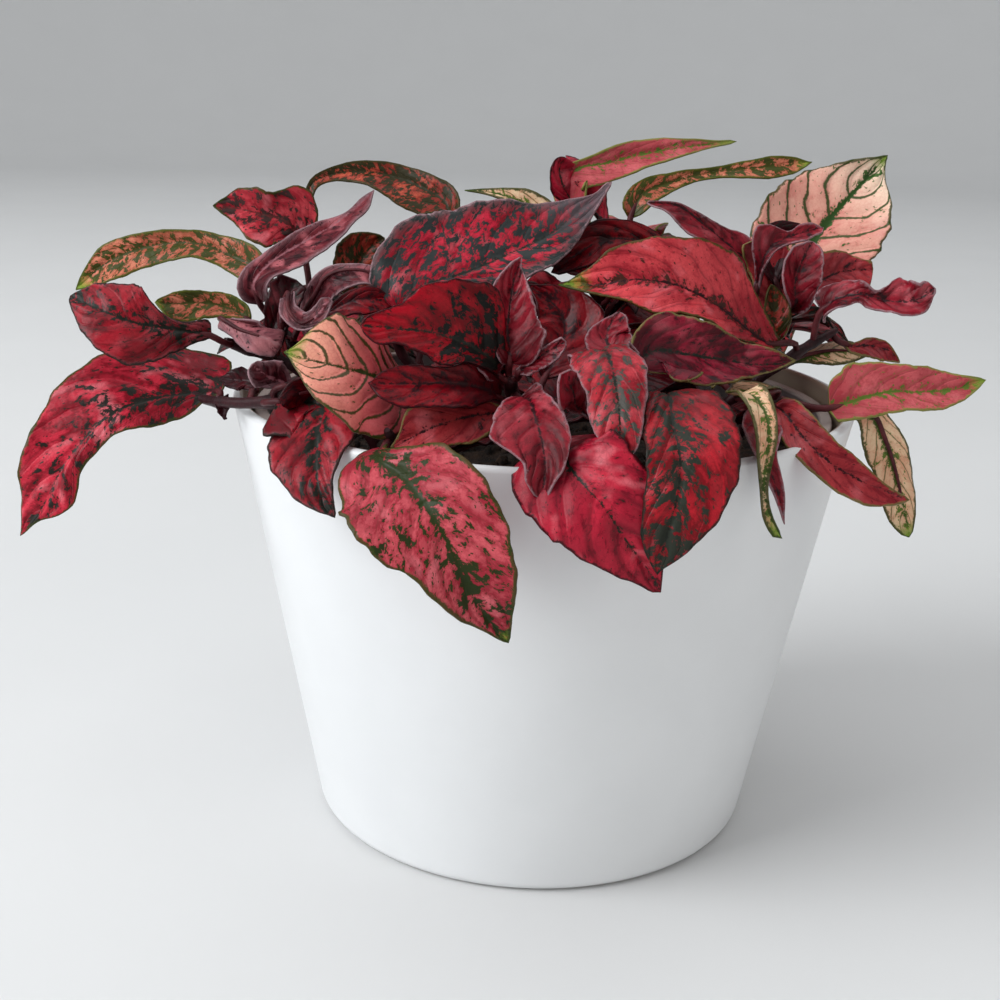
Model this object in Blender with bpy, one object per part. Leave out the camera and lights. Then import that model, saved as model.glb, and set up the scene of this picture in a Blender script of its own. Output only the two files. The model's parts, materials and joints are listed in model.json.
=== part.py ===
"""Polka dot plant in a nursery pot, standing inside a white tapered cover pot.

The origin is the centre of the cover pot's flat underside, +Z is up, and the
plant's front faces -Y.  Sizes and places are in millimetres, and MM turns them
into metres where a mesh or a curve is made.
"""

import math
from dataclasses import dataclass

import bmesh
import bpy
from mathutils import Vector
from mathutils.geometry import interpolate_bezier

MM = 0.001

# Cover pot: a straight cone with a rounded foot and a thin rim.
COVER_HEIGHT = 100.0
COVER_TOP_RADIUS = 70.0
COVER_BASE_RADIUS = 51.4
COVER_WALL = 2.4
COVER_FLOOR = 3.0
COVER_FOOT_ROUND = 3.0
COVER_SEGMENTS = 64

# Nursery pot: a thin tapered pot with a lip, standing on the cover pot's floor.
SEAT_GAP = 0.3
NURSERY_TOP = 97.0
NURSERY_BASE_RADIUS = 44.5
NURSERY_TOP_RADIUS = 63.6
NURSERY_WALL = 1.0
NURSERY_LIP_WIDTH = 1.8
NURSERY_LIP_DEPTH = 2.4
DRAIN_COUNT = 8
DRAIN_RADIUS = 4.0
DRAIN_CIRCLE = 29.0
POT_SEGMENTS = 48

# Root ball: it fills the nursery pot to a little below its lip.
SOIL_EDGE_HEIGHT = 87.4
SOIL_CENTRE_HEIGHT = 88.6
SOIL_SHOULDER = 0.75
POCKET_DEPTH = 7.6
POCKET_CLEARANCE = 0.8

# Stems stand in pockets of the root ball.
STEM_FOOT = SOIL_EDGE_HEIGHT - POCKET_DEPTH + SEAT_GAP
STEM_COLLAR = 89.0
STEM_POINTS = 12
STEM_BEVEL = 2

# Leaves: a round stalk that opens into a thin blade.
LEAF_SAMPLES = 240
LEAF_MIDDLE = 0.45
STALK_RADIUS = 0.65
BLADE_THICKNESS = 0.5
STALK_BLEND = 6.0
STALK_SHARE_LIMIT = 0.45
BLADE_STATIONS = (0.0, 0.05, 0.13, 0.24, 0.36, 0.48, 0.60, 0.72, 0.83, 0.93)
ACROSS = (-1.0, -0.5, 0.0, 0.5, 1.0)
RIPPLE_OFFSET = 0.37
SMOOTH_STEPS = 24

# Colours of the leaves' varieties, linear RGB.
LEAF_COLOURS = {
    "red": (0.42, 0.03, 0.06),
    "mottled": (0.22, 0.03, 0.05),
    "crimson": (0.16, 0.01, 0.02),
    "pink": (0.55, 0.12, 0.16),
    "pale": (0.65, 0.38, 0.34),
    "salmon": (0.42, 0.16, 0.09),
    "mauve": (0.28, 0.12, 0.15),
    "magenta": (0.30, 0.02, 0.08),
}
STEM_COLOUR = (0.035, 0.012, 0.018)


@dataclass
class Stem:
    """A stem's foot on the soil, its route above the collar, and its end radii."""

    foot: tuple
    route: list
    foot_radius: float = 1.6
    tip_radius: float = 1.0


@dataclass
class Leaf:
    """A leaf: where it leaves its stem, its midrib's route, and its blade."""

    name: str
    stem: str
    along: float
    route: list
    width: float
    face: tuple
    colour: str
    stalk: float = 6.0
    fold: tuple = (0.15, 0.15)
    cup: tuple = (0.3, 0.3)
    twist: float = 0.0
    breadth: float = 0.72
    taper: float = 0.25
    ripple: float = 0.0
    leave: tuple = None


STEMS = {
    "left": Stem((-40, -34), [(-50, -42, 103.5), (-63, -36, 102.5), (-72, -27, 101), (-76, -24, 102)], 1.5),
    "left_middle": Stem((-37, -14), [(-57, -14, 107), (-66, -16, 110), (-69, -17, 112)], 1.5, 0.9),
    "left_back": Stem((-38, 4), [(-40, 3, 97), (-56, -2, 107), (-59, 0, 111)]),
    "centre_left": Stem((-18, -14), [(-20, -14, 97), (-31, -18, 111), (-31, -20, 116)]),
    "centre": Stem((2, -34), [(1, -35, 96), (-6, -46, 109), (-6, -49, 112)], 1.7, 1.1),
    "front_left": Stem((-22, -46), [(-23, -48, 94), (-28, -57, 100), (-29, -60, 104)], 1.5),
    "front_right": Stem((24, -38), [(24, -40, 95), (19, -48, 109), (18, -52, 113)]),
    "back": Stem((6, 24), [(7, 25, 100), (16, 26, 124), (13, 28, 130)], 1.7),
    "back_left": Stem((-24, 30), [(-24, 31, 98), (-27, 33, 110), (-27, 36, 118)]),
    "back_right": Stem((36, 34), [(36, 34, 96), (39, 35, 106), (42, 36, 112)]),
    "right_back": Stem((34, 14), [(36, 13, 100), (53, 4, 117), (54, 6, 122)]),
    "right": Stem((36, -10), [(38, -10, 96), (51, -12, 109), (65, -4, 116)], 1.5, 0.9),
    "right_front": Stem((40, -24), [(41, -25, 95), (48, -28, 105), (50, -26, 105)], 1.5),
}

LEFT_LEAVES = [
    Leaf("leaf_left_long", "left", 0.93, [(-84, -26, 103), (-100, -34, 93), (-111, -36, 71)],
         25, (-0.15, -0.8, 0.6), "mottled", fold=(0.0, 0.1), cup=(0.2, -0.7), twist=-20, breadth=0.62),
    Leaf("leaf_left_round", "left_middle", 0.97,
         [(-75, -26, 115), (-87, -32, 119), (-98, -28, 118), (-97, -24, 111)],
         18, (0, -0.85, 0.5), "mottled", fold=(0.1, 0.1), cup=(-0.4, -0.4)),
    Leaf("leaf_left_salmon", "left_middle", 0.80, [(-72, -6, 117), (-78, -10, 118), (-86, -12, 118)],
         10, (0, -0.6, 0.8), "salmon"),
    Leaf("leaf_left_folded", "left_middle", 0.88, [(-63, -18, 116), (-59, -22, 115), (-57, -22, 110)],
         13, (0.1, 0.6, -0.8), "mauve", stalk=3),
    Leaf("leaf_left_arched", "left_back", 0.77, [(-71, 12, 126), (-90, 14, 128), (-111, 12, 117)],
         13, (0, -0.55, 0.83), "salmon"),
    Leaf("leaf_left_upper", "left_back", 0.84, [(-59, 10, 131), (-65, 6, 138), (-76, 6, 138)],
         18, (0.1, -0.98, 0.2), "pink", breadth=0.62),
    Leaf("leaf_left_pointed", "left_back", 0.99, [(-59, 2, 127), (-50, 0, 134), (-39, 2, 143)],
         13, (-0.4, -0.7, 0.6), "mauve"),
    Leaf("leaf_left_inner", "left_back", 0.70, [(-49, 12, 120), (-46, 14, 127), (-41, 14, 132)],
         10, (0, -0.95, 0.3), "salmon"),
    Leaf("leaf_left_curled", "left_back", 0.92,
         [(-50, -10, 115), (-43, -13, 124), (-35, -13, 125), (-31, -13, 119)],
         10, (0.2, 0.8, -0.6), "mauve", cup=(-0.8, -0.8)),
]

CENTRE_LEAVES = [
    Leaf("leaf_centre_large", "centre_left", 0.93, [(-29, -26, 124), (-10, -16, 130), (14, -4, 147)],
         31, (0, -0.9, 0.5), "mottled", fold=(0.15, -0.2), breadth=0.6),
    Leaf("leaf_top_arched", "centre_left", 0.70,
         [(-23, 16, 138), (-43, 20, 147), (-55, 20, 143), (-56, 18, 129)],
         14, (0, -0.4, 0.9), "salmon", twist=60),
    Leaf("leaf_centre_crimson", "centre", 0.93, [(-17, -52, 120), (-26, -57, 126), (-34, -59, 123)],
         17, (0, -0.9, 0.45), "crimson"),
    Leaf("leaf_centre_low", "centre", 0.86, [(-16, -59, 108), (-24, -61, 108), (-31, -59, 108)],
         18, (0, -0.85, 0.5), "crimson", fold=(0.2, 0.2)),
    Leaf("leaf_centre_upright", "centre", 0.97, [(-7, -50, 118), (-6, -46, 125), (-5, -40, 134)],
         13, (0.1, -1, 0.1), "magenta", fold=(0.4, 0.4)),
    Leaf("leaf_centre_hanging", "centre", 0.90, [(-2, -68, 110), (0, -78, 106), (0, -80, 97)],
         13, (0, -0.9, 0.35), "red", stalk=3, fold=(0.2, 0.2), breadth=0.9),
    Leaf("leaf_centre_dark", "centre", 0.60, [(4, -26, 120), (-4, -24, 127)],
         14, (0, -0.9, 0.4), "crimson", stalk=8),
    Leaf("leaf_centre_back", "right_back", 0.70, [(29, -2, 132), (17, -4, 135), (1, -8, 129)],
         12, (0, -0.8, 0.5), "crimson"),
]

FRONT_LEAVES = [
    Leaf("leaf_front_pale", "centre_left", 0.60, [(-28, -48, 109), (-37, -58, 114), (-49, -55, 117)],
         28, (0, -1, 0.12), "pale", cup=(-0.25, -0.25), breadth=0.66, taper=-0.35),
    Leaf("leaf_front_left", "left", 0.52, [(-48, -49, 102), (-46, -60, 95), (-39, -68, 86)],
         21, (-0.3, -0.9, 0.3), "crimson", cup=(-0.2, -0.2), taper=-0.2),
    Leaf("leaf_front_pink", "front_left", 0.93, [(-22, -77, 100), (-14, -83, 90), (-5, -80, 70)],
         30, (0, -0.95, 0.35), "pink", breadth=0.55, taper=0.5),
    Leaf("leaf_front_crested", "front_right", 0.93, [(10, -58, 120), (14, -68, 115), (14, -78, 105)],
         14, (0, -0.9, 0.4), "mottled", cup=(-0.4, -0.4), breadth=1.15, taper=-0.1, leave=(-1, -0.3, 0.5)),
    Leaf("leaf_front_red", "front_right", 0.75, [(6, -71, 105), (13, -80, 95), (23, -80, 81)],
         28, (0, -0.97, 0.25), "red", cup=(-0.2, -0.2), breadth=0.6, taper=-0.25),
    Leaf("leaf_front_mottled", "front_right", 0.84, [(26, -63, 114), (26, -77, 104), (22, -82, 85)],
         22, (0.1, -0.95, 0.3), "mottled", cup=(-0.3, -0.3), breadth=0.66),
    Leaf("leaf_front_magenta", "front_right", 0.97, [(30, -44, 118), (49, -40, 115)],
         16, (0, -0.6, 0.8), "magenta", stalk=3),
]

RIGHT_LEAVES = [
    Leaf("leaf_right_broad", "right", 0.75, [(42, -22, 120), (29, -28, 128), (15, -28, 131), (3, -28, 127)],
         18, (0, -0.8, 0.6), "red", breadth=0.6),
    Leaf("leaf_right_pale", "right_back", 0.80, [(62, 22, 132), (71, 26, 140), (79, 30, 152)],
         26, (-0.1, -0.9, 0.4), "pale"),
    Leaf("leaf_right_arched", "right_back", 0.86, [(44, 7, 131), (34, 7, 139), (23, 5, 142)],
         10, (0, -0.6, 0.8), "crimson"),
    Leaf("leaf_right_maroon", "right_back", 0.93, [(57, 2, 128), (64, 4, 129), (74, 6, 130)],
         14, (0, -0.9, 0.4), "crimson"),
    Leaf("leaf_right_ruffled", "right", 0.85, [(63, -12, 123), (74, -14, 124), (83, -14, 129)],
         10, (0, -0.7, 0.7), "magenta", ripple=1.2),
    Leaf("leaf_right_salmon", "right", 0.65, [(63, 4, 111), (75, 6, 109)],
         9, (0, 0.5, -0.8), "salmon"),
    Leaf("leaf_right_long", "right_front", 0.95,
         [(59, -30, 105), (68, -30, 106), (81, -26, 107), (94, -22, 109)],
         14, (0, -0.85, 0.55), "pink", stalk=9, cup=(0.1, 0.1)),
    Leaf("leaf_right_low", "right_front", 0.85, [(51, -46, 104), (60, -52, 98), (73, -50, 91)],
         9, (0, -0.8, 0.6), "red"),
    Leaf("leaf_right_trailing", "right_front", 0.70,
         [(67, -14, 107), (76, -7, 100), (81, -4, 87), (85, -8, 70)],
         11, (-0.3, 0.9, -0.1), "pale"),
    Leaf("leaf_right_ribbon", "right_front", 0.90,
         [(41, -46, 110), (42, -60, 107), (43, -64, 98), (46, -64, 87)],
         9, (0.5, -0.8, 0.3), "pale"),
]

BACK_LEAVES = [
    Leaf("leaf_top_tall", "back", 0.97, [(4, 30, 145), (17, 32, 150), (44, 36, 154)],
         12, (0, -0.5, 0.8), "pink"),
    Leaf("leaf_top_slender", "back", 0.88, [(24, 28, 142), (37, 30, 147), (51, 30, 149), (65, 30, 150)],
         9, (0, -0.5, 0.8), "salmon", twist=40),
    Leaf("leaf_top_cream", "back", 0.86, [(-1, 36, 136), (-11, 38, 140), (-21, 38, 141)],
         8, (0, -0.6, 0.8), "pale"),
    Leaf("leaf_back_middle", "back", 0.75, [(0, 44, 124), (-8, 62, 120), (-15, 80, 100)],
         22, (0, 0.6, 0.8), "red"),
    Leaf("leaf_back_low", "back", 0.66, [(18, 42, 124), (28, 60, 122), (35, 80, 102)],
         20, (0, 0.6, 0.8), "mottled"),
    Leaf("leaf_back_upper", "back_left", 0.97, [(-22, 46, 128), (-24, 62, 126), (-28, 76, 112)],
         18, (0, 0.5, 0.8), "pink"),
    Leaf("leaf_back_left", "back_left", 0.90, [(-36, 44, 116), (-46, 58, 112), (-56, 70, 94)],
         20, (-0.4, 0.5, 0.8), "mottled"),
    Leaf("leaf_back_left_low", "back_left", 0.80, [(-46, 30, 114), (-62, 34, 112), (-78, 38, 100)],
         17, (-0.3, 0.2, 0.9), "crimson"),
    Leaf("leaf_back_right", "back_right", 0.90, [(46, 44, 116), (58, 56, 112), (66, 68, 94)],
         20, (0.4, 0.5, 0.8), "red"),
    Leaf("leaf_back_right_low", "back_right", 0.80, [(56, 26, 112), (68, 30, 110), (80, 36, 98)],
         17, (0.3, 0.2, 0.9), "mottled"),
]


def clear_scene():
    """Remove whatever the file holds."""
    for old in list(bpy.data.objects):
        bpy.data.objects.remove(old, do_unlink=True)


def finish(obj, colour, roughness, metallic=0.0):
    """Give an object a material of its own."""
    mat = bpy.data.materials.new(obj.name + "_finish")
    mat.use_nodes = True
    shader = mat.node_tree.nodes["Principled BSDF"]
    shader.inputs["Base Color"].default_value = (*colour, 1.0)
    shader.inputs["Roughness"].default_value = roughness
    shader.inputs["Metallic"].default_value = metallic
    obj.data.materials.append(mat)


def object_from_bmesh(name, bm):
    """Turn a bmesh in metres into a smooth-shaded object of the scene."""
    mesh = bpy.data.meshes.new(name)
    bm.to_mesh(mesh)
    bm.free()
    mesh.shade_smooth()
    mesh.set_sharp_from_angle(angle=math.radians(35))
    obj = bpy.data.objects.new(name, mesh)
    bpy.context.collection.objects.link(obj)
    return obj


def arc(centre_r, centre_z, radius, start, end, steps):
    """Points of a round stretch of a profile, angles in degrees."""
    points = []
    for i in range(steps + 1):
        angle = math.radians(start + (end - start) * i / steps)
        points.append((centre_r + radius * math.cos(angle), centre_z + radius * math.sin(angle)))
    return points


def turned(name, profile, segments):
    """Spin a profile of (radius, height) points about Z into a closed solid."""
    bm = bmesh.new()
    verts = [bm.verts.new((r * MM, 0.0, z * MM)) for r, z in profile]
    edges = [bm.edges.new(pair) for pair in zip(verts, verts[1:])]
    if profile[0][0] > 0:
        edges.append(bm.edges.new((verts[-1], verts[0])))
    bmesh.ops.spin(bm, geom=verts + edges, cent=(0, 0, 0), axis=(0, 0, 1),
                   angle=2 * math.pi, steps=segments, use_merge=True)
    bmesh.ops.remove_doubles(bm, verts=bm.verts, dist=0.01 * MM)
    bmesh.ops.recalc_face_normals(bm, faces=bm.faces)
    return object_from_bmesh(name, bm)


def cut(obj, cutter):
    """Subtract a cutter, which stays in the file as a hidden guide."""
    cutter.hide_render = True
    cutter.display_type = "WIRE"
    modifier = obj.modifiers.new("cut", "BOOLEAN")
    modifier.operation = "DIFFERENCE"
    modifier.solver = "EXACT"
    modifier.object = cutter


def cylinders(name, places, low, high, sides):
    """One guide object of upright cylinders, each given as (x, y, radius)."""
    bm = bmesh.new()
    for x, y, radius in places:
        made = bmesh.ops.create_cone(bm, cap_ends=True, segments=sides, radius1=radius * MM,
                                     radius2=radius * MM, depth=(high - low) * MM)
        middle = Vector((x, y, (low + high) / 2)) * MM
        bmesh.ops.translate(bm, verts=made["verts"], vec=middle)
    return object_from_bmesh(name, bm)


def taper(height, low, low_radius, high, high_radius):
    """Radius of a straight cone at a height."""
    return low_radius + (high_radius - low_radius) * (height - low) / (high - low)


def cover_radius(height):
    """Outer radius of the cover pot at a height."""
    return taper(height, 0.0, COVER_BASE_RADIUS, COVER_HEIGHT, COVER_TOP_RADIUS)


def nursery_radius(height):
    """Outer radius of the nursery pot's wall at a height."""
    return taper(height, COVER_FLOOR, NURSERY_BASE_RADIUS, NURSERY_TOP, NURSERY_TOP_RADIUS)


def make_cover_pot():
    """White tapered outer pot with a flat underside and a floor."""
    lip = COVER_WALL / 2
    foot = COVER_FOOT_ROUND
    profile = [(0.0, 0.0)]
    profile += arc(cover_radius(foot) - foot, foot, foot, -90, 0, 4)
    profile += arc(COVER_TOP_RADIUS - lip, COVER_HEIGHT - lip, lip, 0, 180, 6)
    profile += arc(cover_radius(COVER_FLOOR + foot) - COVER_WALL - foot, COVER_FLOOR + foot, foot, 0, -90, 3)
    profile.append((0.0, COVER_FLOOR))
    pot = turned("cover_pot", profile, COVER_SEGMENTS)
    finish(pot, (0.83, 0.83, 0.82), 0.42)


def make_nursery_pot():
    """Thin inner pot with a turned-out lip and drain holes in its floor."""
    low = COVER_FLOOR + SEAT_GAP
    floor = low + NURSERY_WALL
    under_lip = NURSERY_TOP - NURSERY_LIP_DEPTH
    lip_radius = NURSERY_TOP_RADIUS + NURSERY_LIP_WIDTH
    profile = [
        (0.0, low),
        (nursery_radius(low), low),
        (nursery_radius(under_lip), under_lip),
        (lip_radius - 0.5, under_lip),
        (lip_radius, under_lip + 0.6),
        (lip_radius, NURSERY_TOP - 0.6),
        (lip_radius - 0.6, NURSERY_TOP),
        (nursery_radius(NURSERY_TOP) - NURSERY_WALL, NURSERY_TOP),
        (nursery_radius(floor) - NURSERY_WALL, floor),
        (0.0, floor),
    ]
    pot = turned("nursery_pot", profile, POT_SEGMENTS)
    places = [(0.0, 0.0, DRAIN_RADIUS)]
    for i in range(DRAIN_COUNT):
        angle = 2 * math.pi * (i + 0.5) / DRAIN_COUNT
        places.append((DRAIN_CIRCLE * math.cos(angle), DRAIN_CIRCLE * math.sin(angle), DRAIN_RADIUS))
    cut(pot, cylinders("drain_guide", places, low - 1, floor + 1, 16))
    finish(pot, (0.42, 0.38, 0.36), 0.5)


def make_soil():
    """Root ball, with a pocket for each stem."""
    low = COVER_FLOOR + SEAT_GAP + NURSERY_WALL + SEAT_GAP
    inset = NURSERY_WALL + SEAT_GAP
    edge = nursery_radius(SOIL_EDGE_HEIGHT) - inset
    profile = [
        (0.0, low),
        (nursery_radius(low) - inset, low),
        (edge, SOIL_EDGE_HEIGHT),
        (edge * SOIL_SHOULDER, SOIL_CENTRE_HEIGHT - 0.3),
        (0.0, SOIL_CENTRE_HEIGHT),
    ]
    soil = turned("soil", profile, POT_SEGMENTS)
    places = [(*stem.foot, stem.foot_radius + POCKET_CLEARANCE) for stem in STEMS.values()]
    cut(soil, cylinders("pocket_guide", places, SOIL_EDGE_HEIGHT - POCKET_DEPTH, STEM_COLLAR + 3, 12))
    finish(soil, (0.035, 0.022, 0.016), 0.95)


def smooth_curve(points, start=None):
    """Dense points of a smooth curve through the given points."""
    knots = [Vector(p) for p in points]
    times = [0.0]
    for a, b in zip(knots, knots[1:]):
        times.append(times[-1] + math.sqrt((b - a).length))
    rates = [(b - a) / (t - s) for a, b, s, t in zip(knots, knots[1:], times, times[1:])]
    slopes = [rates[0]]
    for i in range(1, len(knots) - 1):
        before = times[i] - times[i - 1]
        after = times[i + 1] - times[i]
        slopes.append((rates[i - 1] * after + rates[i] * before) / (before + after))
    slopes.append(1.5 * rates[-1] - 0.5 * slopes[-1])
    if start is None:
        slopes[0] = 1.5 * rates[0] - 0.5 * slopes[1]
    else:
        slopes[0] = start.normalized() * rates[0].length
    line = [knots[0]]
    for i in range(len(knots) - 1):
        reach = (times[i + 1] - times[i]) / 3
        line += interpolate_bezier(knots[i], knots[i] + slopes[i] * reach,
                                   knots[i + 1] - slopes[i + 1] * reach, knots[i + 1], SMOOTH_STEPS + 1)[1:]
    return line


def even_points(line, count):
    """Points at equal steps along a line, and the line's length."""
    reach = [0.0]
    for a, b in zip(line, line[1:]):
        reach.append(reach[-1] + (b - a).length)
    points = []
    k = 0
    for i in range(count):
        target = reach[-1] * i / (count - 1)
        while k < len(line) - 2 and reach[k + 1] < target:
            k += 1
        points.append(line[k].lerp(line[k + 1], (target - reach[k]) / (reach[k + 1] - reach[k])))
    return points, reach[-1]


def directions(points):
    """Unit tangents along evenly spaced points."""
    last = len(points) - 1
    return [(points[min(i + 1, last)] - points[max(i - 1, 0)]).normalized() for i in range(last + 1)]


def stem_points(stem, count):
    """Points from a stem's foot in its pocket to its tip."""
    x, y = stem.foot
    upright = [(x, y, STEM_FOOT), (x, y, (STEM_FOOT + STEM_COLLAR) / 2), (x, y, STEM_COLLAR)]
    return even_points(smooth_curve(upright + stem.route), count)[0]


def make_stem(name, stem):
    """A stem as a tapered round tube with closed ends."""
    curve = bpy.data.curves.new(name, "CURVE")
    curve.dimensions = "3D"
    curve.bevel_depth = stem.foot_radius * MM
    curve.bevel_resolution = STEM_BEVEL
    curve.use_fill_caps = True
    points = stem_points(stem, STEM_POINTS)
    spline = curve.splines.new("POLY")
    spline.points.add(len(points) - 1)
    for i, point in enumerate(points):
        spline.points[i].co = (*(point * MM), 1.0)
        spline.points[i].radius = 1 + (stem.tip_radius / stem.foot_radius - 1) * i / (len(points) - 1)
    obj = bpy.data.objects.new(name, curve)
    bpy.context.collection.objects.link(obj)
    finish(obj, STEM_COLOUR, 0.5)


def leaf_joint(leaf):
    """Where a leaf's stalk starts, just off its stem, and the way it leaves."""
    stem = STEMS[leaf.stem]
    points = even_points(stem_points(stem, STEM_POINTS), LEAF_SAMPLES + 1)[0]
    index = round(leaf.along * LEAF_SAMPLES)
    along = directions(points)[index]
    radius = stem.foot_radius + (stem.tip_radius - stem.foot_radius) * leaf.along
    out = Vector(leaf.leave) if leaf.leave else Vector(leaf.route[0]) - points[index]
    out = (out - along * out.dot(along)).normalized()
    return points[index] + out * (radius + SEAT_GAP), out + 0.25 * along


def leaf_frames(leaf):
    """Points of the midrib with their tangents and upper-face normals, and the stalk's share."""
    foot, out = leaf_joint(leaf)
    points, length = even_points(smooth_curve([foot] + leaf.route, out), LEAF_SAMPLES + 1)
    share = min(STALK_SHARE_LIMIT, leaf.stalk / length)
    tangents = directions(points)
    middle = int((share + (1 - share) * LEAF_MIDDLE) * LEAF_SAMPLES)
    normals = [Vector(leaf.face)] * len(points)
    normals[middle] = (normals[middle] - tangents[middle] * normals[middle].dot(tangents[middle])).normalized()
    for steps in (range(middle + 1, len(points)), range(middle - 1, -1, -1)):
        previous = normals[middle]
        for i in steps:
            previous = (previous - tangents[i] * previous.dot(tangents[i])).normalized()
            normals[i] = previous
    for i, (tangent, normal) in enumerate(zip(tangents, normals)):
        turn = math.radians(leaf.twist) * ((i / LEAF_SAMPLES - share) / (1 - share) - LEAF_MIDDLE)
        normals[i] = normal * math.cos(turn) + tangent.cross(normal) * math.sin(turn)
    return points, tangents, normals, share


def blade_outline(leaf, s):
    """Half width of the blade at s, as a share of its greatest."""
    return abs(math.sin(math.pi * s ** leaf.breadth)) ** (1 + leaf.taper * s)


def blade_section(leaf, half_width, v, s):
    """Offset across and up, and the face normal, at v across the blade."""
    side = 0 if v < 0 else 1
    cup = leaf.cup[side]
    fold = leaf.fold[side]
    reach = abs(v)
    across = half_width * math.sin(cup * reach) / cup
    rise = half_width * (1 - math.cos(cup * reach)) / cup
    lean = cup * reach + fold
    x = across * math.cos(fold) - rise * math.sin(fold)
    z = across * math.sin(fold) + rise * math.cos(fold)
    wave = math.sin(2 * math.pi * (2 * s + (RIPPLE_OFFSET if v > 0 else 0)))
    z += leaf.ripple * reach ** 2 * wave * min(1, half_width / 3)
    if v == 0:
        return 0.0, z, 0.0, 1.0
    sign = math.copysign(1, v)
    return sign * x, z, -sign * math.sin(lean), math.cos(lean)


def leaf_ring(leaf, point, tangent, normal, s):
    """Closed ring of points round the stalk or the blade."""
    across = tangent.cross(normal)
    on_blade = s > 0
    stalk_part = max(0.0, 1 - STALK_BLEND * s) if on_blade else 1.0
    half_width = STALK_RADIUS
    if on_blade:
        half_width = max(leaf.width / 2 * blade_outline(leaf, s), STALK_RADIUS * (1 - s))
    upper = STALK_RADIUS * stalk_part
    lower = STALK_RADIUS * stalk_part + BLADE_THICKNESS * (1 - stalk_part)
    top = []
    under = []
    for v in ACROSS:
        x, z, nx, nz = blade_section(leaf, half_width, v, s) if on_blade else (v * half_width, 0, 0, 1)
        surface = point - across * x + normal * z
        face = normal * nz - across * nx
        depth = 1 - v * v
        top.append(surface + face * upper * depth)
        if depth > 0:
            under.append(surface - face * lower * depth)
    return top + under[::-1]


def make_leaf(leaf):
    """A leaf as one closed solid, from its stalk's end to its tip."""
    points, tangents, normals, share = leaf_frames(leaf)
    places = [0.0, share / 2] + [share + (1 - share) * s for s in BLADE_STATIONS]
    bm = bmesh.new()
    rings = []
    for place in places:
        i = round(place * LEAF_SAMPLES)
        s = (place - share) / (1 - share)
        ring = leaf_ring(leaf, points[i], tangents[i], normals[i], s)
        rings.append([bm.verts.new(p * MM) for p in ring])
    tip = bm.verts.new(points[-1] * MM)
    bm.faces.new(rings[0])
    for near, far in zip(rings, rings[1:]):
        for j in range(len(near)):
            k = (j + 1) % len(near)
            bm.faces.new((near[j], far[j], far[k], near[k]))
    for j in range(len(rings[-1])):
        bm.faces.new((rings[-1][j], tip, rings[-1][(j + 1) % len(rings[-1])]))
    bmesh.ops.triangulate(bm, faces=bm.faces)
    finish(object_from_bmesh(leaf.name, bm), LEAF_COLOURS[leaf.colour], 0.45)


def main():
    clear_scene()
    make_cover_pot()
    make_nursery_pot()
    make_soil()
    for name, stem in STEMS.items():
        make_stem("stem_" + name, stem)
    for leaf in LEFT_LEAVES + CENTRE_LEAVES + FRONT_LEAVES + RIGHT_LEAVES + BACK_LEAVES:
        make_leaf(leaf)


main()
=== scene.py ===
"""Looks of a potted polka dot plant: a white cover pot, the nursery pot and soil in it, dark stems and
mottled leaves.

Sizes in the tables of stems and leaves are in millimetres, in the frame's own axes. MM turns them into
metres.
"""

import json
import math
import random
from dataclasses import dataclass

import bpy
from mathutils import Matrix, Vector, noise
from mathutils.geometry import interpolate_bezier


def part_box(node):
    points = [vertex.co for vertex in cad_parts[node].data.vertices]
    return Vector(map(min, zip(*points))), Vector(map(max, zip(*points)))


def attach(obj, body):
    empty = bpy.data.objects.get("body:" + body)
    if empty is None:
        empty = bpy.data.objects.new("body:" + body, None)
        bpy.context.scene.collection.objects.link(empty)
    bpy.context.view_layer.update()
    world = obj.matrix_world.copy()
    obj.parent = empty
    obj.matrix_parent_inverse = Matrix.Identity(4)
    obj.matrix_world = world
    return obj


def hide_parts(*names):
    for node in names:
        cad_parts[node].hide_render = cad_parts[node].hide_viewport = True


bl_info = {
    "name": "Potted Polka Dot Plant",
    "version": (1, 0, 0),
    "blender": (4, 5, 0),
    "location": "3D View > Sidebar > Polka Dot Plant",
    "description": "Builds a potted polka dot plant around its packed frame",
    "category": "Object",
}

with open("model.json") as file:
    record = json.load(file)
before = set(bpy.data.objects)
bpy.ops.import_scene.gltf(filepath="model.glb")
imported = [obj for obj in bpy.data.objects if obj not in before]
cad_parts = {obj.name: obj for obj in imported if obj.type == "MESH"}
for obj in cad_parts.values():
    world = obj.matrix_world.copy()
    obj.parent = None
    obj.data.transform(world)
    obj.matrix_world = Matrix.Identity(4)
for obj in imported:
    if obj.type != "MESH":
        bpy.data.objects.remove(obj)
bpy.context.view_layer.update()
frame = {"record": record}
SLOT_OF = {row["node"]: row["material_slot"] for row in frame["record"]["subparts"]}
MM = 0.001


def srgb(red, green, blue):
    """A colour picked on a screen's 0 to 255 scale, as linear values by the sRGB rule."""
    return tuple(((c / 255 + 0.055) / 1.055) ** 2.4 if c > 10 else c / 255 / 12.92
                 for c in (red, green, blue))


# ---------------------------------------------------------------- stems and leaves


@dataclass
class Stem:
    """A stem's foot on the soil, its route above the collar, and its end radii."""

    foot: tuple
    route: list
    foot_radius: float = 1.6
    tip_radius: float = 1.0


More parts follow.
